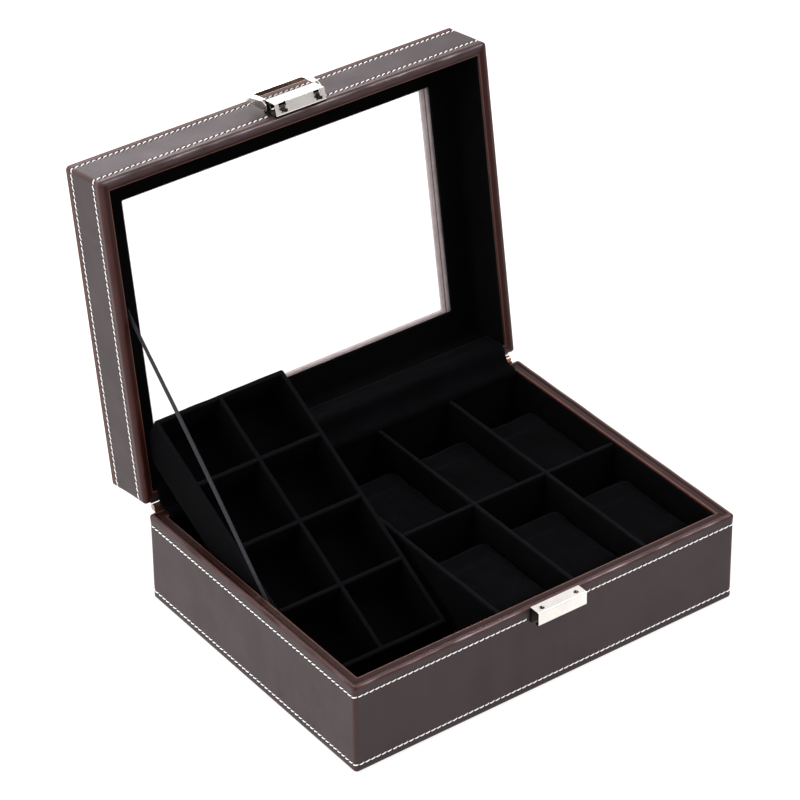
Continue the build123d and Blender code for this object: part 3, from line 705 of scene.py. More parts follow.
# ---------------------------------------------------------------- leather: lid
def lid_wrap():
    lines = STITCH_LID
    prof = [(6.85, 65.2), (6.85, 64.2), (6.85, 63.3)]
    prof += arc(6.2, 63.05, 0.65, 0, -90, 5)[1:]
    for dd, zz in ((5.8, 62.34), (5.4, 62.24), (4.9, 62.13), (4.5, 62.06), (4.1, 62.01), (3.7, 61.97), (3.3, 61.95)):
        prof.append((dd, zz))
    prof += arc(2.9, 64.85, 2.9, -90, -180, 11)[1:]
    prof[-1] = (0.0, 64.85)
    zs = wall_rows(65.0, 97.2, lines)
    prof = [(max(q, 0.0), w) for q, w in prof]
    prof += [(0.0, z) for z in zs]
    prof += [(0.05, 97.8), (0.25, 98.15), (0.9, 98.35), (3.0, 98.35)]
    rows = [(HX - dd, HY - dd, max(2.5 - dd, 0.35), z) for dd, z in prof]
    P, N, faces = ring(rows, NX_B, NY_B, NC)
    R, n = P.shape[:2]
    d = np.array([p[0] for p in prof])[:, None] * np.ones((1, n))
    z = np.array([p[1] for p in prof])[:, None] * np.ones((1, n))
    nor = np.column_stack([N, np.zeros(n)])[None]
    mid = [i for i, p in enumerate(prof) if p[0] == 0.0][3]
    s = np.cumsum(np.r_[0, np.linalg.norm(np.diff(P[mid], axis=0), axis=1)])
    hole = 0.5 + 0.5 * np.cos(2 * math.pi * s / pitch_of(s[-1]))
    wall = (d < 0.01)
    dip = sum(np.exp(-((z - q) / 0.85) ** 2) for q in lines)
    P -= nor * (dip * (0.20 + 0.16 * hole[None]) * wall)[..., None]
    swell = wavy(P, 60.0, 4) * 0.10 + wavy(P, 22.0, 5) * 0.04
    P -= nor * ((0.14 - swell * 0.8) * wall * np.clip((z - 64.4) / 3, 0, 1) * np.clip((97.2 - z) / 2, 0, 1))[..., None]
    rimz = (z < 63.4)
    P[..., 2] -= rimz * (wavy(P, 26.0, 6) * 0.10 - 0.10)
    diag = np.abs((HX - np.abs(P[..., 0])) - (HY - np.abs(P[..., 1])))
    near = np.maximum(HX - np.abs(P[..., 0]), HY - np.abs(P[..., 1])) < 8.5
    near = near * (z < 63.4)
    lean = (HX - np.abs(P[..., 0])) - (HY - np.abs(P[..., 1])) + 0.3 * np.sin(d * 1.4)
    creases = wavy(P * np.array([1.0, 1.0, 0.2]) + np.array([0.5, 0.9, 0]) * d[..., None], 4.5, 10)
    P[..., 2] += rimz * np.clip(creases, 0, 1) * 0.14 * np.exp(-((d - 2.4) / 1.1) ** 2)
    P[..., 2] = np.where(rimz & (d > 1.0), np.minimum(P[..., 2], 62.62), P[..., 2])
    P[..., 2] += near * 0.30 * np.exp(-((np.abs(lean) - 1.0) / 0.30) ** 2) * np.clip(d / 1.5, 0.35, 1) * np.where(d > 3.0, 0.35, 1.0)
    P[..., 2] -= near * 0.10 * np.exp(-(lean / 0.75) ** 2) * np.clip(d / 2.0, 0.3, 1) * (z > 62.1)
    e = np.zeros_like(d)
    e = np.maximum(e, 0.80 * np.exp(-((d - 6.3) / 0.9) ** 2) * (z < 66))
    e = np.maximum(e, 0.95 * np.exp(-((z - 65.4) / 0.9) ** 2) * (d < 0.9))
    e = np.maximum(e, (0.20 + 0.25 * np.clip((d - 4.2) / 1.5, 0, 1)) * (z < 63))
    e = np.maximum(e, 0.7 * near * np.exp(-((diag - 0.8) / 0.5) ** 2))
    e = np.maximum(e, 0.95 * np.exp(-((z - 98.3) / 1.1) ** 2))
    e = np.maximum(e, 0.7 * corner_mask(P, HX, HY, 2.0))
    # painted highlight: a light line along the roll's inner edge
    line_and_glint = 0.42 * np.exp(-((d - 6.50) / 0.26) ** 2) * (z < 63.6)
    rolled = np.clip((63.6 - z) / 0.4, 0, 1)
    # painted shade: the roll darkens towards its inner edge, with wavy patches and darker mitre folds
    painted_shade_and_gloss = rolled * 1.0 * np.clip((d - 3.6) / 2.0, 0, 1)
    painted_shade_and_gloss = np.clip(painted_shade_and_gloss + rolled * 0.22 * wavy(P * np.array([0.25, 0.25, 1.0]) + d[..., None] * 2.0, 3.4, 12), 0, 1)
    painted_shade_and_gloss = np.maximum(painted_shade_and_gloss, near * np.exp(-((np.abs(lean) - 1.0) / 0.4) ** 2))
    burnt = np.clip((z - 96.7) / 0.5, 0, 1)
    e = np.maximum(e, burnt)
    # painted shade: darker, less glossy colour along the top edge
    painted_shade_and_gloss = np.maximum(painted_shade_and_gloss, 1.35 * burnt)
    # real red-brown edge line along the top edge and at the seam, in the same line colour
    line_and_glint = np.maximum(line_and_glint, 0.40 * burnt)
    seam = np.exp(-((z - 65.9) / 0.75) ** 2) * (d < 0.5)
    # painted shade in the seam crease at the top of the wall
    painted_shade_and_gloss = np.maximum(painted_shade_and_gloss, 1.2 * seam)
    line_and_glint = np.maximum(line_and_glint, 0.32 * seam)
    e = np.maximum(e, seam)
    shine = np.exp(-((d - 1.25) / 1.05) ** 2) * (z < 64.6)
    shine *= 0.62 + 0.38 * wavy(P * np.array([0.35, 0.35, 1.0]), 8.0, 13)
    long_side = np.clip(((HX - np.abs(P[..., 0])) - (HY - np.abs(P[..., 1]))) / 3.0, 0, 1)
    shine *= 0.15 + 0.85 * long_side
    # painted shade: the short side rails get darker, redder colour than the long rails
    short_side_shade = (1 - long_side) * rolled
    e = np.maximum(e, 0.85 * short_side_shade * (0.75 + 0.25 * np.clip((d - 2.4) / 1.0, 0, 1)))
    painted_shade_and_gloss = np.maximum(painted_shade_and_gloss, short_side_shade * (0.35 + 0.65 * np.clip((d - 2.4) / 1.2, 0, 1)))
    shine *= 1 - near * np.exp(-((np.abs(lean) - 1.0) / 0.5) ** 2)
    painted_shade_and_gloss = painted_shade_and_gloss * (1 - np.clip(shine * 1.2, 0, 1)) - shine
    ob = write_mesh("lid_leather", P.reshape(-1, 3), faces, LID, {"edge": e, "line_and_glint": line_and_glint, "painted_shade_and_gloss": painted_shade_and_gloss})
    finish_piece(ob, LEATHER, "lid", ["lid_leather_wrap"])
    return ob


def lid_top_panel():
    """Top panel, turned in round the window and back under the board."""
    wx, wy = (109.5 + 107.7) / 2, (76.8 + 73.8) / 2
    ox, oy = (109.5 - 107.7) / 2, (76.8 - 73.8) / 2
    rows, tag = [], []
    # under fold, out to the seat of the glass
    for off, z, t in ((8.5, 95.62, 0.25), (5.6, 95.62, 0.15), (3.3, 95.62, 0.15), (3.05, 95.63, 0.9), (2.75, 95.66, 1.0),
                      (2.45, 95.63, 0.9), (2.2, 95.62, 0.25), (1.5, 95.62, 0.2), (0.8, 95.65, 0.2), (0.3, 95.85, 0.2),
                      (0.05, 96.3, 0.25)):
        rows.append((wx + off, wy + off, 1.0 + (0.8 if off > 8 else 0.0), z, ox, oy)); tag.append(t)
    rows.append((wx, wy, 1.0, 97.5, ox, oy)); tag.append(0.1)
    for k in range(0, 6):
        a = math.radians(180 - 90 * k / 5)
        rows.append((wx + 0.9 + 0.9 * math.cos(a), wy + 0.9 + 0.9 * math.cos(a), 1.2, 98.08 + 0.9 * math.sin(a), ox, oy))
        tag.append(0.25 if k < 4 else 0.4)
    n_in = len(rows)
    for t in (0.06, 0.15, 0.3, 0.45, 0.6, 0.75, 0.88, 0.95):
        hx = wx + 0.9 + (HX - 0.6 - wx - 0.9) * t
        hy = wy + 0.9 + (HY - 0.6 - wy - 0.9) * t
        rows.append((hx, hy, 1.2 + 1.0 * t, 98.98, ox * (1 - t), oy * (1 - t))); tag.append(0.25 if t < 0.1 or t > 0.9 else 0.0)
    for k in range(0, 5):
        a = math.radians(90 - 90 * k / 4)
        rows.append((HX - 0.5 + 0.5 * math.cos(a), HY - 0.5 + 0.5 * math.cos(a), 2.4, 98.5 + 0.48 * math.sin(a)))
        tag.append(0.95)
    rows.append((HX - 0.1, HY - 0.1, 2.4, 98.36)); tag.append(1.0)
    rows.append((HX - 3.0, HY - 3.0, 1.0, 98.33)); tag.append(1.0)
    P, N, faces = ring(rows, NX_B, NY_B, NC)
    z = P[..., 2]
    e = np.array(tag)[:, None] * np.ones((1, P.shape[1]))
    top = (z > 98.9)
    P[..., 2] -= top * (0.06 - 0.06 * wavy(P, 45.0, 8))
    e = np.maximum(e, 0.8 * corner_mask(P, HX, HY, 3.0))
    # lighter colour on the turned-in window strips: partly the leather's own paler edge, partly painted light standing
    # in for light behind the glass
    ln = np.zeros_like(e)
    ln[:n_in] = np.clip(1.15 - e[:n_in] * 1.1, 0, 1)
    ln[:3] = 1.0
    # painted shade: darker, less glossy groove between the window strips and along the panel's outer edge
    painted_shade_and_gloss = np.zeros_like(e)
    painted_shade_and_gloss[:n_in] = np.clip(e[:n_in] - 0.45, 0, 1) * 2.7
    painted_shade_and_gloss[-7:] = 1.5
    ob = write_mesh("lid_top_leather_panel", P.reshape(-1, 3), faces, LID, {"edge": e, "line_and_glint": ln, "painted_shade_and_gloss": painted_shade_and_gloss})
    finish_piece(ob, LEATHER_TOP, "lid", ["lid_top_leather"])


# ------------------------------------------------------------- velvet surfaces
def velvet_piece(name, parts, matrix, body, nodes, mat, amp=0.10, painted_highlight_z=None, seed=11):
    V, F = parts
    nudge = np.stack([wavy(V, 14.0, seed), wavy(V, 14.0, seed + 1), wavy(V, 14.0, seed + 2)], -1)
    V = V + nudge * amp
    e = np.zeros(len(V))
    # painted highlight along the top edge
    if painted_highlight_z is not None:
        e = np.exp(-((painted_highlight_z - V[:, 2]) / 0.9) ** 2) * 0.8
    ob = write_mesh(name, V, F, matrix, {"edge": e})
    return finish_piece(ob, mat, body, nodes)


def base_lining():
    """Velvet over the inside walls and the floor."""
    fx, fy = 131.5, 97.5
    rows = [(fx + 1.15, fy + 1.15, 0.4, 58.0), (fx + 1.15, fy + 1.15, 0.4, 59.0)]
    for k in range(5):
        a = math.radians(0 + 90 * k / 4)
        rows.append((fx + 0.6 + 0.55 * math.cos(a), fy + 0.6 + 0.55 * math.cos(a), 0.8, 58.95 + 0.55 * math.sin(a)))
    for k in range(1, 5):
        a = math.radians(90 + 90 * k / 4)
        rows.append((fx + 0.6 + 0.6 * math.cos(a), fy + 0.6 + 0.6 * math.cos(a), 0.9, 58.95 + 0.55 * math.sin(a)))
    for z in np.linspace(56, 6.5, 14):
        rows.append((fx, fy, 1.0, z))
    for k in range(1, 5):
        a = math.radians(0 - 90 * k / 4)
        rows.append((fx - 1.4 + 1.4 * math.cos(a), fy - 1.4 + 1.4 * math.cos(a), 1.0, 5.4 + 1.4 * math.sin(a)))
    P, N, F = ring(rows, 70, 54, 4)
    z = P[..., 2]
    nor = np.column_stack([N, np.zeros(len(N))])[None]
    m = (z < 57) & (z > 6)
    P += nor * (m * (wavy(P, 26.0, 14) * 0.10 + 0.02))[..., None]
    # painted highlight along the top of the walls
    e = np.exp(-((59.5 - z) / 0.8) ** 2) * 0.5
    ob = write_mesh("base_velvet_walls", P.reshape(-1, 3), F, BASE, {"edge": e})
    finish_piece(ob, VELVET, "base", ["base_wall_lining"])
    V, F = soft_box((-131.6, -97.6, 3.2), (131.6, 97.6, 4.0), 0.3, 5.0, 2)
    V[:, 2] += (V[:, 2] > 3.9) * wavy(V, 30.0, 15) * 0.10
    ob = write_mesh("base_velvet_floor", V, F, BASE, {"edge": np.zeros(len(V))})
    finish_piece(ob, VELVET, "base", ["base_floor_lining"])


def slab(name, lo, hi, node_name, matrix=BASE, body="base", mat=None, r=1.15, top=None, seed=20, step=3.0):
    V, F = soft_box(lo, hi, r, step, 4)
    return velvet_piece(name, (V, F), matrix, body, [node_name], mat or VELVET, 0.09,
                        hi[2] if top is None else top, seed=seed)


def dividers():
    h = 1.5
    slab("divider_central", (-30 - h, -97.4, 4.0), (-30 + h, 97.4, 59.2), "central_divider", seed=20)
    slab("divider_row", (-30 + h - 0.4, -0.5 - h, 4.0), (131.6, -0.5 + h, 59.15), "row_divider", seed=23)
    slab("divider_column_left", (24.5 - h, -97.4, 4.0), (24.5 + h, 97.4, 59.2), "column_divider_left", seed=26)
    slab("divider_column_right", (79.0 - h, -97.4, 4.0), (79.0 + h, 97.4, 59.2), "column_divider_right", seed=29)
    slab("bay_partition", (-131.5, -0.5 - h, 4.0), (-31.5, -0.5 + h, 26.5), "tray_support_partition", seed=32)
    slab("bay_rear_ledge", (-131.5, 93.5, 4.0), (-31.5, 97.5, 26.5), "tray_rear_ledge", seed=35)


def tray():
    x0, x1 = -130.0, -37.0
    y0, y1 = 2.1 - 94.5, 2.1 + 94.5
    cx, cy = (x0 + x1) / 2, (y0 + y1) / 2
    hx, hy = (x1 - x0) / 2, (y1 - y0) / 2
    t = 3.0
    rows = [(hx - 2.0, hy - 2.0, 1.0, 27.05), (hx - 0.6, hy - 0.6, 1.4, 27.1), (hx - 0.1, hy - 0.1, 1.6, 27.5)]
    for z in (28.5, 34, 40, 46, 52, 55.0):
        rows.append((hx, hy, 1.6, z))
    for k in range(0, 5):
        a = math.radians(180 - 90 * k / 4)
        rows.append((hx - 1.1 - 1.1 * math.cos(a), hy - 1.1 - 1.1 * math.cos(a), 1.5, 55.9 + 1.1 * math.sin(a)))
    for k in range(0, 5):
        a = math.radians(90 - 90 * k / 4)
        rows.append((hx - t + 1.1 - 1.1 * math.cos(a), hy - t + 1.1 - 1.1 * math.cos(a), 0.8, 55.9 + 1.1 * math.sin(a)))
    for z in (54.0, 48, 42, 36, 31.0, 29.0):
        rows.append((hx - t, hy - t, 0.8, z))
    P, N, F = ring(rows, 40, 76, 4)
    P[..., 0] += cx
    P[..., 1] += cy
    nor = np.column_stack([N, np.zeros(len(N))])[None]
    P += nor * (wavy(P, 22.0, 41) * 0.08)[..., None]
    P[..., 2] += (P[..., 2] > 56.4) * (wavy(P, 16.0, 42) * 0.06 - 0.04)
    # painted highlight along the frame's top edge
    e = np.exp(-((57.0 - P[..., 2]) / 0.8) ** 2) * 0.8
    ob = write_mesh("tray_velvet_frame", P.reshape(-1, 3), F, TRAY, {"edge": e})
    finish_piece(ob, VELVET_TRAY_SHADED, "tray", ["tray_frame"])
    V, F = soft_box((x0 + 1.2, y0 + 1.2, 27.0), (x1 - 1.2, y1 - 1.2, 29.4), 0.5, 4.0, 2)
    V[:, 2] += (V[:, 2] > 29) * wavy(V, 20.0, 43) * 0.1
    velvet_piece("tray_velvet_floor", (V, F), TRAY, "tray", ["tray_floor"], VELVET_TRAY_SHADED, 0.0, None)
    xm = (x0 + x1) / 2
    slab("tray_divider_long", (xm - 1.5, y0 + 2.0, 29.0), (xm + 1.5, y1 - 2.0, 56.9), "tray_long_divider",
         TRAY, "tray", VELVET_TRAY_SHADED, 1.15, 57.0, 44)
    pitch = (189.0 - t) / 4
    for i, nm in enumerate(("front", "middle", "rear")):
        yc = y0 + t / 2 + pitch * (i + 1)
        slab("tray_divider_" + nm, (x0 + 2.0, yc - 1.5, 29.0), (x1 - 2.0, yc + 1.5, 56.86),
             "tray_cross_divider_" + nm, TRAY, "tray", VELVET_TRAY_SHADED, 1.15, 57.0, 47 + 3 * i)


def lid_lining():
    fx, fy = 132.9, 98.9
    rows = [(fx + 1.1, fy + 1.1, 0.4, 65.2), (fx + 1.1, fy + 1.1, 0.4, 64.6)]
    for k in range(5):
        a = math.radians(-90 * k / 4)
        rows.append((fx + 0.6 + 0.5 * math.cos(a), fy + 0.6 + 0.5 * math.cos(a), 0.8, 64.55 + 0.5 * math.sin(a)))
    for k in range(1, 5):
        a = math.radians(-90 - 90 * k / 4)
        rows.append((fx + 0.6 + 0.6 * math.cos(a), fy + 0.6 + 0.6 * math.cos(a), 0.9, 64.55 + 0.5 * math.sin(a)))
    for z in np.linspace(67, 91.2, 8):
        rows.append((fx, fy, 1.0, z))
    for k in range(1, 5):
        a = math.radians(90 * k / 4)
        rows.append((fx - 1.2 + 1.2 * math.cos(a), fy - 1.2 + 1.2 * math.cos(a), 1.0, 91.4 + 1.2 * math.sin(a)))
    P, N, F = ring(rows, 70, 54, 4)
    z = P[..., 2]
    nor = np.column_stack([N, np.zeros(len(N))])[None]
    P += nor * (((z > 66) & (z < 91)) * (wavy(P, 26.0, 54) * 0.10))[..., None]
    # painted highlight along the top of the walls
    e = np.exp(-((64.1 - z) / 0.8) ** 2) * 0.5
    ob = write_mesh("lid_velvet_walls", P.reshape(-1, 3), F, LID, {"edge": e})
    finish_piece(ob, VELVET, "lid", ["lid_wall_lining"])
    vx, vy = (114.9 + 109.6) / 2, (78.6 + 75.6) / 2
    ox, oy = (114.9 - 109.6) / 2, (78.6 - 75.6) / 2
    rows, tag = [], []
    for t in (0.0, 0.12, 0.3, 0.5, 0.7, 0.88, 0.96):
        rows.append((fx - 0.6 + (vx + 0.6 - fx + 0.6) * t, fy - 0.6 + (vy + 0.6 - fy + 0.6) * t, 1.0, 92.62, ox * t, oy * t)); tag.append(0)
    for k in range(0, 5):
        a = math.radians(-90 - 90 * k / 4)
        rows.append((vx + 0.6 + 0.6 * math.cos(a), vy + 0.6 + 0.6 * math.cos(a), 1.0, 93.2 + 0.6 * math.sin(a), ox, oy)); tag.append(0.3)
    rows.append((vx + 0.1, vy + 0.1, 1.0, 93.8, ox, oy)); tag.append(0.1)
    P, N, F = ring(rows, 70, 54, 4)
    P[..., 2] += (P[..., 2] < 92.8) * wavy(P, 30.0, 57) * 0.10
    # painted highlight on the window frame's rounded edge
    e = np.array(tag)[:, None] * np.ones((1, P.shape[1]))
    ob = write_mesh("lid_velvet_window_frame", P.reshape(-1, 3), F, LID, {"edge": e})
    finish_piece(ob, VELVET, "lid", ["lid_window_velvet"])


# ------------------------------------------------------------ hard pieces
def from_node(name, node_name, width, segments=3, angle=25, body=None, mat=None, sharp=35):
    """The node's own shape with its sharp edges eased."""
    src = frame["nodes"][node_name]
    me = src.data.copy()
    me.name = name
    bm = bmesh.new()
    bm.from_mesh(me)
    bmesh.ops.remove_doubles(bm, verts=bm.verts, dist=2e-6)
    bmesh.ops.dissolve_limit(bm, angle_limit=math.radians(1.0), verts=bm.verts, edges=bm.edges)
    bm.to_mesh(me)
    bm.free()
    for at in ("custom_normal",):
        if at in me.attributes:
            me.attributes.remove(me.attributes[at])
    ob = bpy.data.objects.new(name, me)
    bpy.context.scene.collection.objects.link(ob)
    mod = ob.modifiers.new("ease", "BEVEL")
    mod.width = width * MM
    mod.segments = segments
    mod.limit_method = "ANGLE"
    mod.angle_limit = math.radians(angle)
    mod.harden_normals = False
    apply_all(ob)
    ob.data.polygons.foreach_set("use_smooth", [True] * len(ob.data.polygons))
    set_smooth_by_angle(ob, sharp)
    wn = ob.modifiers.new("flat", "WEIGHTED_NORMAL")
    wn.mode = "FACE_AREA"
    wn.weight = 80
    wn.keep_sharp = True
    apply_all(ob)
    ob.data.materials.clear()
    finish_piece(ob, mat, body, [node_name])
    return ob


def apply_all(ob):
    dg = bpy.context.evaluated_depsgraph_get()
    ev = ob.evaluated_get(dg)
    me = bpy.data.meshes.new_from_object(ev, depsgraph=dg)
    ob.modifiers.clear()
    ob.data = me


def set_smooth_by_angle(ob, degrees):
    bm = bmesh.new()
    bm.from_mesh(ob.data)
    lim = math.radians(degrees)
    for e in bm.edges:
        if len(e.link_faces) == 2:
            e.smooth = e.calc_face_angle(0.0) < lim
    bm.to_mesh(ob.data)
    bm.free()


def paint_shade_faces(ob, mat, test, matrix):
    """Painted shade: a second, near-black material on the faces whose middles, laid out shut, pass test."""
    ob.data.materials.append(mat)
    inv = np.array(matrix.inverted())
    for p in ob.data.polygons:
        c = np.array(p.center) / MM
        c = inv[:3, :3] @ c + inv[:3, 3]
        n = inv[:3, :3] @ np.array(p.normal)
        if test(c, n):
            p.material_index = 1


def paint_nodes():
    by_slot = {"board": BOARD, "nickel": NICKEL, "brass": BRASS, "glass": GLASS, "felt": FELT,
               "leather": LEATHER, "velvet": VELVET, "pillow_velvet": VELVET_PILLOW,
               "thread": THREAD, "ribbon": RIBBON}
    slots = {s["node"]: s["material_slot"] for s in frame["record"]["subparts"]}
    for n, ob in frame["nodes"].items():
        m = by_slot[slots[n]]
        if not ob.data.materials:
            ob.data.materials.append(m)
        for i in range(len(ob.material_slots)):
            ob.material_slots[i].material = m


paint_nodes()
base_wrap()
lid_wrap()
lid_top_panel()
base_lining()
dividers()
tray()
lid_lining()

for nm, z in (("upper", STITCH_BASE[0]), ("lower", STITCH_BASE[1])):
    skip = None
    if nm == "upper":
        skip = lambda x, y: (y > 105 and abs(x) < 135.5) or (y < -105 and abs(x - 3.0) < 18.0)
    ob = thread_mesh("stitches_base_" + nm, HX - 0.25, HY - 0.25, 2.3, z, BASE, 0.15, skip)
    finish_piece(ob, THREAD, "base", ["base_stitching_" + nm])
for nm, z in (("lower", STITCH_LID[0]), ("upper", STITCH_LID[1])):
    skip = None
    if nm == "lower":
        skip = lambda x, y: (y > 105 and abs(x) < 135.5) or (y < -105 and abs(x - 3.0) < 18.0)
    ob = thread_mesh("stitches_lid_" + nm, HX - 0.25, HY - 0.25, 2.3, z, LID, 0.36, skip)
    finish_piece(ob, THREAD, "lid", ["lid_stitching_" + nm])

V, F = soft_box((-119.5, -85.5, 93.8), (119.5, 85.5, 95.6), 0.3, 40.0, 3)
ob = write_mesh("window_glass_pane", V, F, LID)
finish_piece(ob, GLASS, "lid", ["lid_glass"])
ob.visible_shadow = False
V, F = soft_box((-137, -103, 0.0), (137, 103, 0.8), 0.35, 6.0, 2)
ob = write_mesh("underside_felt", V, F, BASE, {"edge": np.zeros(len(V))})
finish_piece(ob, FELT, "base", ["base_bottom_felt"])

keeper_ob = from_node("keeper_plate", "keeper", 0.22, 3, 25, "base", NICKEL)
paint_shade_faces(keeper_ob, NICKEL_SHADE,
       lambda c, n: -7.2 < c[1] + HY < 0.2 and c[2] < 61.4 and c[2] > 51.4 and
       not (c[1] + HY < -7.5) and not (c[2] < 53.2 and n[2] < -0.5), BASE)
case_ob = from_node("clasp_case", "clasp_housing", 0.10, 1, 12, "lid", NICKEL, 7)
paint_shade_faces(case_ob, NICKEL_SHADE,
       lambda c, n: (n[1] > 0.6 and c[1] + HY > -8.2) or (n[2] > 0.5 and c[2] < 73.0) or
       (abs(n[0]) > 0.6 and (c[2] > 69.0 or abs(c[0] - 3.0) < 16.5) and c[0] < 16.5), LID)
handle_ob = from_node("clasp_handle", "clasp_lever", 0.22, 3, 25, "clasp_lever", NICKEL)
paint_shade_faces(handle_ob, NICKEL_SHADE,
       lambda c, n: (62.4 < c[2] < 74.0 and abs(c[0] - 3.0) < 19.4) or (c[2] < 76.5 and c[1] + HY > -5.7 and abs(c[0] - 3.0) < 19.4), LID)
# painted shade: the far bar's downward faces get the brown-toned nickel
handle_ob.data.materials.append(NICKEL_BROWN_SHADE)
turned = np.array(LID.inverted())[:3, :3]
for poly in handle_ob.data.polygons:
    n = turned @ np.array(poly.normal)
    c = np.array(LID.inverted() @ (poly.center / MM))
    if n[2] < -0.6 and c[2] > 86.5:
        poly.material_index = 2
# painted shade on the back plate and the pin
for nm in ("clasp_back_plate", "clasp_pin"):
    frame["nodes"][nm].material_slots[0].material = NICKEL_SHADE
frame["nodes"]["keeper_nails"].material_slots[0].material = NAIL
from_node("hinge_leaf_base", "hinge_base_leaf", 0.12, 2, 30, "base", BRASS)
from_node("hinge_leaf_lid", "hinge_lid_leaf", 0.12, 2, 30, "lid", BRASS)


# ------------------------------------------------------------------ soft pieces
def ribbon():
    """Flat ribbon, pulled straight, with a slight twist towards the lid."""
    a, b = np.array([-4.5, 61.6]), np.array([126.0, 185.0])
    u = (b - a) / np.linalg.norm(b - a)
    p0, p1 = a - u * 8.0, b + u * 8.0
    n = 120
    verts, faces = [], []
    prof = [(-2.5, -0.10), (-2.3, -0.22), (-1.2, -0.17), (0, -0.16), (1.2, -0.17), (2.3, -0.22), (2.5, -0.10),
            (2.5, 0.10), (2.3, 0.22), (1.2, 0.17), (0, 0.16), (-1.2, 0.17), (-2.3, 0.22), (-2.5, 0.10)]
    for i in range(n + 1):
        t = i / n
        c = p0 + (p1 - p0) * t
        tw = math.radians(7.0) * math.sin(math.pi * t)
        xc = -130.95 + 0.5 * math.sin(math.pi * t) ** 2
        for w, h in prof:
            du = w * 0.8 * math.cos(tw)
            dx = w * 0.8 * math.sin(tw) + h
            verts.append((xc + abs(math.sin(tw)) * 1.6 + dx, c[0] - u[1] * du, c[1] + u[0] * du))
    k = len(prof)
    for i in range(n):
        for j in range(k):
            j2 = (j + 1) % k
            faces.append((i * k + j, i * k + j2, (i + 1) * k + j2, (i + 1) * k + j))
    faces.append(tuple(range(k))[::-1])
    faces.append(tuple(n * k + j for j in range(k)))
    ob = write_mesh("ribbon_stay_strip", verts, faces)
    ob.data.materials.append(RIBBON)
    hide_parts("ribbon_stay")
    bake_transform(ob)


GUSSET_LINE = [(96.75, 58.6), (96.7, 60.6), (97.2, 61.9), (98.6, 62.5), (101.5, 62.6), (104.6, 62.7),
               (106.0, 63.7), (107.2, 65.8), (107.9, 68.6), (108.3, 71.2), (109.4, 73.0), (111.6, 73.7),
               (116.0, 73.2), (121.0, 72.5), (126.5, 71.7)]


def smooth_line(pts, n):
    pts = np.array(pts, float)
    s = np.r_[0, np.cumsum(np.linalg.norm(np.diff(pts, axis=0), axis=1))]
    t = np.linspace(0, s[-1], n)
    y = np.interp(t, s, pts[:, 0])
    z = np.interp(t, s, pts[:, 1])
    for _ in range(3):
        y[1:-1] = (y[:-2] + 2 * y[1:-1] + y[2:]) / 4
        z[1:-1] = (z[:-2] + 2 * z[1:-1] + z[2:]) / 4
    return y, z, s[-1]


def gusset():
    """Velvet strip over the hinge: long shallow wrinkles along it."""
    ny, nx = 44, 150
    y, z, length = smooth_line(GUSSET_LINE, ny)
    ty = np.gradient(y)
    tz = np.gradient(z)
    ln = np.hypot(ty, tz)
    nyv, nzv = -tz / ln, ty / ln
    xs = np.linspace(-130.6, 130.6, nx)
    top, bot = [], []
    for i in range(ny):
        for x in xs:
            p = np.array([x * 0.35, y[i] * 1.6, z[i] * 1.6])
            t = i / (ny - 1)
            env = math.sin(math.pi * t) ** 0.8
            w = (float(wavy(p[None], 18.0, 61)[0]) * 0.30 + float(wavy((p * [0.6, 1.0, 1.0])[None], 14.0, 62)[0]) * 0.16) * env
            w = max(w, -0.25)
            top.append((x, y[i] + nyv[i] * (0.3 + w), z[i] + nzv[i] * (0.3 + w)))
            bot.append((x, y[i] + nyv[i] * (-0.25 + w * 0.6), z[i] + nzv[i] * (-0.25 + w * 0.6)))
    V = np.array(top + bot)
    F = []
    m = ny * nx
    for i in range(ny - 1):
        for j in range(nx - 1):
            a = i * nx + j
            F.append((a, a + 1, a + nx + 1, a + nx))
            F.append((m + a, m + a + nx, m + a + nx + 1, m + a + 1))
    for j in range(nx - 1):
        F.append((j, m + j, m + j + 1, j + 1))
        a = (ny - 1) * nx + j
        F.append((a, a + 1, m + a + 1, m + a))
    for i in range(ny - 1):
        a = i * nx
        F.append((a, a + nx, m + a + nx, m + a))
        a = i * nx + nx - 1
        F.append((a, m + a, m + a + nx, a + nx))
    ob = write_mesh("gusset_cloth", V, F, BASE, {"edge": np.zeros(len(V))})
    ob.data.materials.append(VELVET_GUSSET)
    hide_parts("hinge_gusset")
    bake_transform(ob)


ribbon()
gusset()


def pillow_mesh():
    """Pillow blank: a rounded block."""
    V, F = soft_box((-24.2, -34.2, -19.2), (24.2, 34.2, 19.2), 5.5, 2.8, 6)
    return V, F


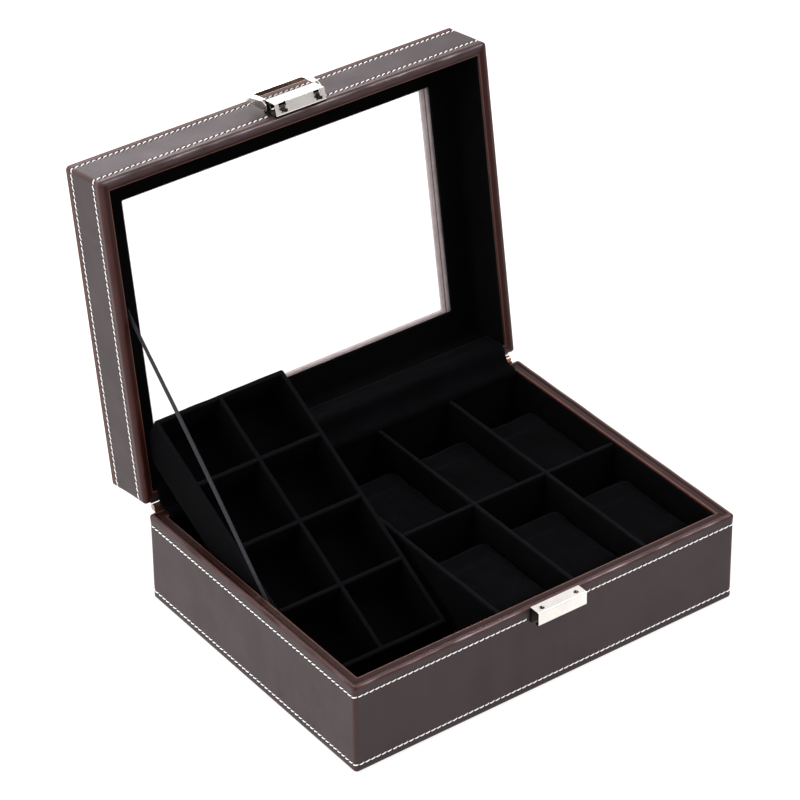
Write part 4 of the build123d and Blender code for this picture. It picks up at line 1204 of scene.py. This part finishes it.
def pillows():
    cells = {"left": -2.75, "middle": 51.75, "right": 106.0}
    rows = {"front": -49.0, "rear": 44.0}
    V, F = pillow_mesh()
    me = bpy.data.meshes.new("pillow_blank")
    me.from_pydata((V * MM).tolist(), [], F)
    me.update()
    ob = bpy.data.objects.new("pillow_blank", me)
    bpy.context.scene.collection.objects.link(ob)
    rm = ob.modifiers.new("remesh", "REMESH")
    rm.mode = "VOXEL"
    rm.voxel_size = 0.0021
    apply_all(ob)
    base = np.array([v.co for v in ob.data.vertices])
    cl = ob.modifiers.new("cloth", "CLOTH")
    cl.settings.quality = 6
    cl.settings.mass = 0.2
    cl.settings.use_pressure = True
    cl.settings.uniform_pressure_force = 4.0
    cl.settings.tension_stiffness = 8
    cl.settings.compression_stiffness = 8
    cl.settings.bending_stiffness = 0.4
    cl.settings.effector_weights.gravity = 0
    cl.collision_settings.use_self_collision = False
    sc = bpy.context.scene
    for f in range(1, 16):
        sc.frame_set(f)
    apply_all(ob)
    now = np.array([v.co for v in ob.data.vertices])
    d = now - base
    ln = np.linalg.norm(d, axis=1)
    k = np.minimum(1.0, 0.0007 / np.maximum(ln, 1e-9))
    now = base + d * k[:, None]
    for v, c in zip(ob.data.vertices, now):
        v.co = c
    P = np.array([v.co for v in ob.data.vertices]) / MM
    faces = [tuple(p.vertices) for p in ob.data.polygons]
    bpy.data.objects.remove(ob)
    for rn, yc in rows.items():
        for cn, xc in cells.items():
            seed = 70 + 3 * (list(cells).index(cn) + 3 * list(rows).index(rn))
            Q = P.copy()
            # sewn seam across the top near the back, and round the ends
            yl = 16.0 + 0.02 * P[:, 0]
            g = np.exp(-((P[:, 1] - yl) / 0.8) ** 2)
            r = np.linalg.norm(Q[:, [0, 2]], axis=1)[:, None]
            Q[:, [0, 2]] *= (1 - g[:, None] * 0.8 / np.maximum(r, 1))
            Q += np.stack([wavy(P, 30.0, seed), wavy(P, 30.0, seed + 1), wavy(P, 30.0, seed + 2)], -1) * 0.30
            Q = np.clip(Q, [-24.95, -34.95, -19.98], [24.95, 34.95, 19.98])
            Q += np.array([xc, yc, 4.3 + 20.0])
            # painted highlight along the seam
            e = np.exp(-((P[:, 1] - yl) / 0.5) ** 2) * 0.45
            o = write_mesh(f"pillow_{rn}_{cn}_cloth", Q, faces, BASE, {"edge": e})
            finish_piece(o, VELVET_PILLOW, f"pillow_{rn}_{cn}", [f"pillow_{rn}_{cn}"])


pillows()

# ------------------------------------------------------------------ studio
floor = bpy.data.meshes.new("floor")
floor.from_pydata([(-6, -6, 0), (6, -6, 0), (6, 6, 0), (-6, 6, 0)], [], [(0, 1, 2, 3)])
floor_ob = bpy.data.objects.new("floor", floor)
bpy.context.scene.collection.objects.link(floor_ob)
fm, fnt, fbs = material("floor_paper")
fbs.inputs["Base Color"].default_value = (0.34, 0.34, 0.34, 1)
fbs.inputs["Roughness"].default_value = 0.9
fbs.inputs["Specular IOR Level"].default_value = 0.1
fbs.inputs["Emission Color"].default_value = (1, 1, 1, 1)
fbs.inputs["Emission Strength"].default_value = 0.74
floor.materials.append(fm)

world = bpy.data.worlds.new("studio")
bpy.context.scene.world = world
world.use_nodes = True
wn = world.node_tree
bg = wn.nodes["Background"]
tc = wn.nodes.new("ShaderNodeTexCoord")
dot = wn.nodes.new("ShaderNodeVectorMath")
dot.operation = "DOT_PRODUCT"
dot.inputs[1].default_value = Vector((-0.45, 0.85, -0.22)).normalized()
wn.links.new(tc.outputs["Generated"], dot.inputs[0])
sky = ramp(wn, map_range(wn, dot.outputs["Value"], -1.0, 1.0, 0.0, 1.0),
           [(0.0, (0.56, 0.56, 0.565, 1)), (0.30, (0.86, 0.86, 0.86, 1)), (0.6, (1.16, 1.16, 1.16, 1)),
            (1.0, (0.95, 0.95, 0.95, 1))])
wn.links.new(sky.outputs["Color"], bg.inputs["Color"])
bg.inputs["Strength"].default_value = 0.95


def area(name, loc, target, size, power, color=(1, 1, 1)):
    li = bpy.data.lights.new(name, "AREA")
    li.shape = "RECTANGLE"
    li.size, li.size_y = size
    li.energy = power
    li.color = color
    ob = bpy.data.objects.new(name, li)
    ob.location = loc
    ob.rotation_mode = "QUATERNION"
    ob.rotation_quaternion = (Vector(target) - Vector(loc)).to_track_quat("-Z", "Y")
    bpy.context.scene.collection.objects.link(ob)
    return ob


area("key_top", (-0.25, 0.25, 1.5), (0, 0, 0.1), (1.4, 1.0), 6)
area("key_roll", (0.70, -0.52, 1.29), (0, 0, 0.15), (0.7, 0.6), 9.5)
area("side_left", (-1.5, 0.25, 0.75), (0, 0, 0.16), (1.0, 0.9), 13.5)
area("back_low", (0.15, 1.95, 0.52), (0.0, 0.15, 0.18), (1.9, 0.5), 13, (1.0, 0.93, 0.965))

cam = bpy.data.cameras.new("camera")
cam.sensor_width = 36.0
cam.sensor_fit = "HORIZONTAL"
cam.lens = 3798.51 / 800 * 36.0
cam.clip_start, cam.clip_end = 0.1, 50
cam_ob = bpy.data.objects.new("camera", cam)
right = Vector((0.80767, -0.58949, -0.01266))
down = Vector((-0.33737, -0.44442, -0.82986))
fwd = Vector((0.48357, 0.67453, -0.55783))
M = Matrix.Identity(4)
for i in range(3):
    M[i][0], M[i][1], M[i][2] = right[i], -down[i], -fwd[i]
q = M.to_3x3().to_quaternion()
cam_ob.rotation_mode = "QUATERNION"
cam_ob.rotation_quaternion = q
cam_ob.location = (-1.09602, -1.48833, 1.38628)
bpy.context.scene.collection.objects.link(cam_ob)
bpy.context.scene.camera = cam_ob
bpy.context.scene.view_settings.view_transform = "Standard"
